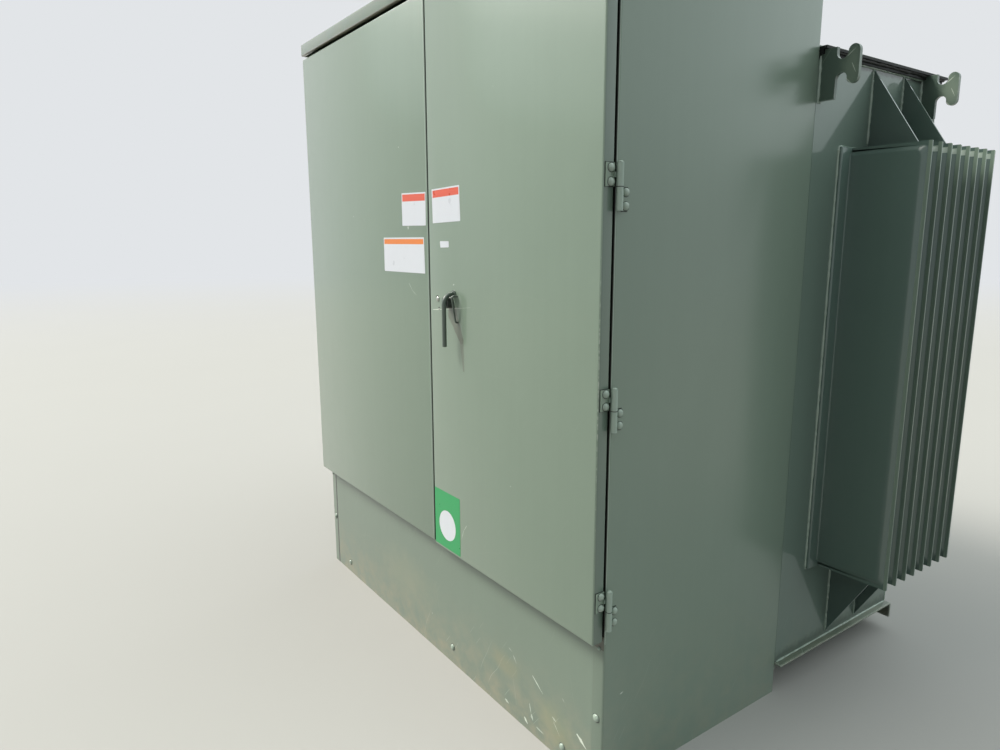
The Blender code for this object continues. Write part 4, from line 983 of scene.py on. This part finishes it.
def cooling_bank(side, name):
    """The corrugated wall of one side: its border sheet and its fins."""
    shape = bmesh.new()
    root = BANK_ROOT + BANK_RISE / 2
    fin(shape, BANK_HIGH.x - root, FIN_HIGH - FIN_LOW, (FIN_LOW + FIN_HIGH) / 2)
    bmesh.ops.translate(shape, verts=shape.verts, vec=(root, BANK_LOW.y + FIN_MARGIN, 0))
    first = everything_in(shape)
    pitch = (BANK_HIGH.y - BANK_LOW.y - 2 * FIN_MARGIN) / (FIN_COUNT - 1)
    for number in range(1, FIN_COUNT):
        points = points_of(bmesh.ops.duplicate(shape, geom=first))
        lean = Matrix.Rotation(math.radians(chance.uniform(-0.18, 0.18)), 4, "Z")
        middle = Matrix.Translation((root, BANK_LOW.y + FIN_MARGIN, 0))
        bmesh.ops.transform(shape, matrix=middle @ lean @ middle.inverted(), verts=points)
        bmesh.ops.translate(shape, verts=points, vec=(0, pitch * number, 0))
    face = BANK_ROOT + BANK_RISE
    block(shape, (BANK_ROOT, BANK_LOW.y, BANK_LOW.z), (face, BANK_HIGH.y, BANK_HIGH.z), 0.005, 3)
    for number in range(FIN_COUNT):
        for way in (-1, 1):
            seam = BANK_LOW.y + FIN_MARGIN + pitch * number + way * POCKET / 2
            bead(shape, (face, seam, FIN_LOW + 0.02), (face, seam, FIN_HIGH - 0.02), 0.0028, 0.03)
    if side < 0:
        bmesh.ops.scale(shape, vec=(-1, 1, 1), verts=shape.verts)
        bmesh.ops.reverse_faces(shape, faces=shape.faces)
    made = piece(f"{name}_pressed_fins", shape, "enclosure", [fin_paint], 40)
    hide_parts(f"{name}_cooling_bank")


for side, name in SIDES:
    cooling_bank(side, name)


# Weld beads on the tank

GUSSET_Y = (FRONT_WALL_Y + 0.2965, REAR_WALL_Y - 0.222)
LUG_Y = (FRONT_WALL_Y + 0.0155, REAR_WALL_Y - 0.1)
LEVEL_SEAMS = ((RIM_BOTTOM, 0.0045), (BASE_TOP, 0.0042))

for side, name in SIDES:
    shape = bmesh.new()
    wall = side * TANK_HALF
    for y in GUSSET_Y:
        for way in (-1, 1):
            seam = y + way * 0.004
            bead(shape, (wall, seam, FIN_HIGH + 0.02), (wall, seam, FIN_HIGH + 0.236), 0.0048)
            bead(shape, (wall, seam, FIN_LOW - 0.02), (wall, seam, FIN_LOW - 0.277), 0.0048)
    for y in LUG_Y:
        for way in (-1, 1):
            seam = y + way * 0.007
            bead(shape, (wall, seam, LUG_LOW.z - 0.004), (wall, seam, WALL_TOP - 0.004), 0.0055)
        bead(shape, (wall, y - 0.009, LUG_LOW.z - 0.001), (wall, y + 0.009, LUG_LOW.z - 0.001), 0.0055, 0.006)
    for height, radius in LEVEL_SEAMS:
        bead(shape, (wall, FRONT_WALL_Y + 0.01, height), (wall, REAR_WALL_Y - 0.004, height), radius)
    for y in (BANK_LOW.y, BANK_HIGH.y):
        bead(shape, (wall, y, BANK_LOW.z), (wall, y, BANK_HIGH.z), 0.0048)
    for z in (BANK_LOW.z, BANK_HIGH.z):
        bead(shape, (wall, BANK_LOW.y, z), (wall, BANK_HIGH.y, z), 0.0044)
    piece(f"{name}_tank_welds", shape, "enclosure", [weld_paint], 60)

shape = bmesh.new()
for height, radius in LEVEL_SEAMS:
    bead(shape, (-TANK_HALF, REAR_WALL_Y, height), (TANK_HALF, REAR_WALL_Y, height), radius)
for side, _ in SIDES:
    x, y = side * (TANK_HALF - 0.001), REAR_WALL_Y - 0.001
    bead(shape, (x, y, BASE_TOP), (x, y, RIM_BOTTOM), 0.0034)
piece("rear_tank_welds", shape, "enclosure", [weld_paint], 60)


# Bolts on the tank's cover, and the fittings behind the doors

def cover_bolts():
    """The bolts round the tank's cover."""
    shape = bmesh.new()
    edge, front, rear = TANK_HALF - 0.022, FRONT_WALL_Y + 0.03, REAR_WALL_Y - 0.022
    places = [(x * edge / 6, rear) for x in range(-6, 7)]
    places += [(side * edge, front + (rear - front) * step / 5) for side, _ in SIDES for step in range(5)]
    for x, y in places:
        hex_bolt(shape, (x, y, COVER_HIGH.z), UPWARD, 0.013)
    piece("tank_cover_bolts", shape, "enclosure", [bolt_paint])


def cover_gasket():
    """The black gasket that swells out unevenly between the tank's rim and its cover."""
    shape = bmesh.new()
    edge, front, rear = TANK_HALF + 0.012, FRONT_WALL_Y + 0.04, REAR_WALL_Y + 0.012
    corners = [Vector((x, y, COVER_LOW.z - 0.001))
               for x, y in ((-edge, front), (-edge, rear), (edge, rear), (edge, front))]
    for start, end in zip(corners, corners[1:]):
        count = round((end - start).length / 0.02)
        rises = [chance.uniform(-0.0018, 0.0012) for _ in range(count + 1)]
        path = [start.lerp(end, step / count) + Vector((0, 0, rise)) for step, rise in enumerate(rises)]
        sweep(shape, path, 0.0052, 8, [chance.uniform(0.7, 1.25) for _ in path])
    piece("cover_gasket", shape, "enclosure", [gasket_black], 60)


DIAL_STEPS = 30


def dial_way(share):
    """The direction of a share of a gauge's scale, which runs clockwise from the lower left."""
    angle = math.radians(225 - 270 * share)
    return Vector((math.cos(angle), 0, math.sin(angle)))


def dial(name, share):
    """A gauge's pale face with its scale ring, its pointer and its hub."""
    low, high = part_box(name)
    middle, radius = middle_of(name), (high.x - low.x) / 2 * 0.86
    middle.y = low.y + 0.0028
    face = middle + Vector((0, -0.0006, 0))
    shape = bmesh.new()
    bar(shape, middle, OUTWARD, 0.0006, radius, 48)
    for step in range(DIAL_STEPS + 1):
        length, width = (0.011, 0.0016) if step % 5 == 0 else (0.006, 0.0008)
        way = dial_way(step / DIAL_STEPS)
        spoke(shape, face + way * (radius * 0.92 - length), way, length, width, 1)
    way = dial_way(share)
    spoke(shape, middle + Vector((0, -0.0016, 0)) - way * radius * 0.18, way, radius * 0.95, 0.0022, 2)
    bar(shape, face, OUTWARD, 0.0024, 0.006, 24, rim=0.0006, material=1)
    piece(f"{name}_dial", shape, "enclosure", [dial_white, case_black, vinyl_red])


def spoke(shape, start, way, length, width, material):
    """A thin flat bar on a dial, along a way."""
    before = set(shape.faces)
    across = Vector((0, 1, 0)).cross(way)
    turn = Matrix((way, across, (0, -1, 0))).transposed().to_4x4()
    size = Matrix.Diagonal((length, width, 0.0008, 1))
    bmesh.ops.create_cube(shape, size=1, matrix=Matrix.Translation(start + way * length / 2) @ turn @ size)
    coloured(shape, before, material)


def insulator_nuts(name, places, circle):
    """Four studs with nuts round the foot of each insulator."""
    shape = bmesh.new()
    for x, z in places:
        for angle in (45, 135, 225, 315):
            across, up = circle * math.cos(math.radians(angle)), circle * math.sin(math.radians(angle))
            hex_bolt(shape, (x + across, FRONT_WALL_Y - 0.0123, z + up), OUTWARD, 0.009)
    piece(name, shape, "enclosure", [zinc])


def terminal_fittings():
    """The nuts of the insulators, the ground connectors, and bolts on the barrier's flange."""
    middle = middle_of("high_voltage_bushings")
    places = [(middle.x + column * 0.2, middle.z + row * 0.11) for column in (-1, 0, 1) for row in (-1, 1)]
    insulator_nuts("high_voltage_studs", places, 0.068)
    middle = middle_of("low_voltage_bushings")
    places = [(middle.x + (number - 1.5) * 0.15, middle.z) for number in range(4)]
    insulator_nuts("low_voltage_studs", places, 0.061)
    shape = bmesh.new()
    for name in ("high_voltage_ground_pad", "low_voltage_ground_pad"):
        place = middle_of(name)
        place.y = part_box(name)[0].y
        hex_bolt(shape, place, OUTWARD, 0.014)
    piece("ground_bolts", shape, "enclosure", [zinc])
    low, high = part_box("compartment_barrier")
    shape = bmesh.new()
    for step in range(6):
        z = low.z + 0.12 + (high.z - low.z - 0.24) * step / 5
        hex_bolt(shape, (high.x - 0.012, high.y - 0.003, z), OUTWARD, 0.0075)
    piece("barrier_bolts", shape, "enclosure", [zinc])


cover_bolts()
cover_gasket()
for name, share in (("level_gauge", 0.5), ("thermometer", 0.22), ("pressure_gauge", 0.46)):
    dial(name, share)
terminal_fittings()


# Materials of the CAD nodes

FINISHES = {}
for finish, names in (
        (door_paint, "left_door right_door"), (roof_paint, "cabinet_roof"), (sill_paint, "cabinet_sill"),
        (side_paint, "cabinet_left_side cabinet_right_side cabinet_back compartment_barrier"),
        (side_paint, "left_door_stiffener right_door_stiffener"), (cover_paint, "tank_cover tank_rim"),
        (base_paint, "tank_base base_frame"), (copper, "core_and_coils"), (brass, "drain_valve"),
        (epoxy, "high_voltage_bushings low_voltage_bushings"),
        (case_black, "level_gauge thermometer pressure_gauge"),
        (zinc, "latch_cam high_voltage_ground_pad low_voltage_ground_pad")):
    FINISHES.update(dict.fromkeys(names.split(), finish))
for name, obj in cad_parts.items():
    material = FINISHES.get(name, tin if "terminal" in name else lug_paint if "lug" in name else tank_paint)
    for slot in obj.material_slots:
        slot.material = material
    for face in obj.data.polygons:
        face.use_smooth = True
    weld = obj.modifiers.new("merged_corners", "WELD")
    weld.merge_threshold = 0.00001
    split = obj.modifiers.new("crisp_edges", "EDGE_SPLIT")
    split.split_angle = math.radians(32)


# Floor, light and camera

SHADE, ZENITH = 0.08, 1.0
WARM, COOL = (1.05, 1.0, 0.93), (0.91, 1.0, 1.01)
# The sky's bright fields: direction, outer and inner cosine, skyline, strength and tint
LOBES = (((-0.6, -0.68, 0.42), 0.84, 0.99, 0.2, 1.3, COOL),
         ((-0.6, -0.62, 0.7), 0.78, 0.98, 0.44, 4.0, WARM),
         ((-0.43, -0.5, 0.75), 0.985, 0.994, 0.2, 38.0, WARM),
         ((0.55, 0.75, 0.5), 0.35, 1.0, 0.06, 1.2, COOL))
BACKDROP = screen(226, 229, 232)


def studio():
    """A plain pale floor that fades into a plain pale background."""
    shape = bmesh.new()
    bmesh.ops.create_grid(shape, x_segments=1, y_segments=1, size=60)
    mesh = bpy.data.meshes.new("studio_floor")
    shape.to_mesh(mesh)
    shape.free()
    floor = bpy.data.objects.new("studio_floor", mesh)
    scene.collection.objects.link(floor)
    made, bench, shader = new_material("pale_floor", Roughness=0.8)
    place = bench.place()
    tones = bench.grey(bench.noise(place, 0.8, 3.0) * 0.03 + 0.985)
    rays = bench.add("LightPath")
    seen = bench.math("MAXIMUM", rays["Is Camera Ray"], rays["Is Glossy Ray"])
    ground = bench.mix(seen, screen(114, 114, 112), screen(160, 159, 155))
    bench.feed(shader.inputs["Base Color"], bench.vector("MULTIPLY", ground, tones))
    glow = bench.add("Emission", {"Color": bench.mix(seen, screen(124, 128, 128), BACKDROP), "Strength": 1.0})
    fade = bench.ramp(bench.vector("LENGTH", place), 5.0, 30.0)
    blend = bench.add("MixShader", {0: fade, 1: Value(bench, shader.outputs[0]), 2: glow[0]})
    bench.feed(made.node_tree.nodes["Material Output"].inputs[0], blend[0])
    floor.data.materials.append(made)


def sky():
    """A soft sky, brightest at the front left. The camera and mirrors see the plain background."""
    world = bpy.data.worlds.new("studio_sky")
    scene.world = world
    world.use_nodes = True
    bench = Bench(world.node_tree)
    way = bench.add("TexCoord")["Generated"]
    up = bench.parts(way)[2]
    total = bench.scaled(COOL, bench.math("MAXIMUM", up, 0.0) ** 2.0 * ZENITH + SHADE)
    for key, low, high, skyline, strength, tint in LOBES:
        facing = bench.ramp(bench.vector("DOT_PRODUCT", way, tuple(Vector(key).normalized())), low, high)
        lit = facing * bench.ramp(up, skyline - 0.09, skyline + 0.12)
        total = bench.vector("ADD", total, bench.scaled(tint, lit * strength))
    rays = bench.add("LightPath")
    mirrored = bench.math("MAXIMUM", rays["Is Glossy Ray"], rays["Is Transmission Ray"])
    total = bench.vector("MAXIMUM", total, bench.mix(mirrored, BLACK, BACKDROP))
    background = world.node_tree.nodes["Background"]
    bench.feed(background.inputs["Color"], bench.mix(rays["Is Camera Ray"], total, BACKDROP))


def camera():
    """The camera at the photograph's angle."""
    lens = bpy.data.cameras.new("photo_camera")
    lens.sensor_width, lens.lens = 36.0, 25.68
    lens.clip_start, lens.clip_end = 0.05, 300.0
    made = bpy.data.objects.new("photo_camera", lens)
    scene.collection.objects.link(made)
    made.location = (2.10751, -1.90224, 1.46202)
    made.rotation_euler = [math.radians(angle) for angle in (79.3336, 0.218527, 54.650463)]
    scene.camera = made


studio()
sky()
camera()
scene.view_settings.view_transform = "Standard"
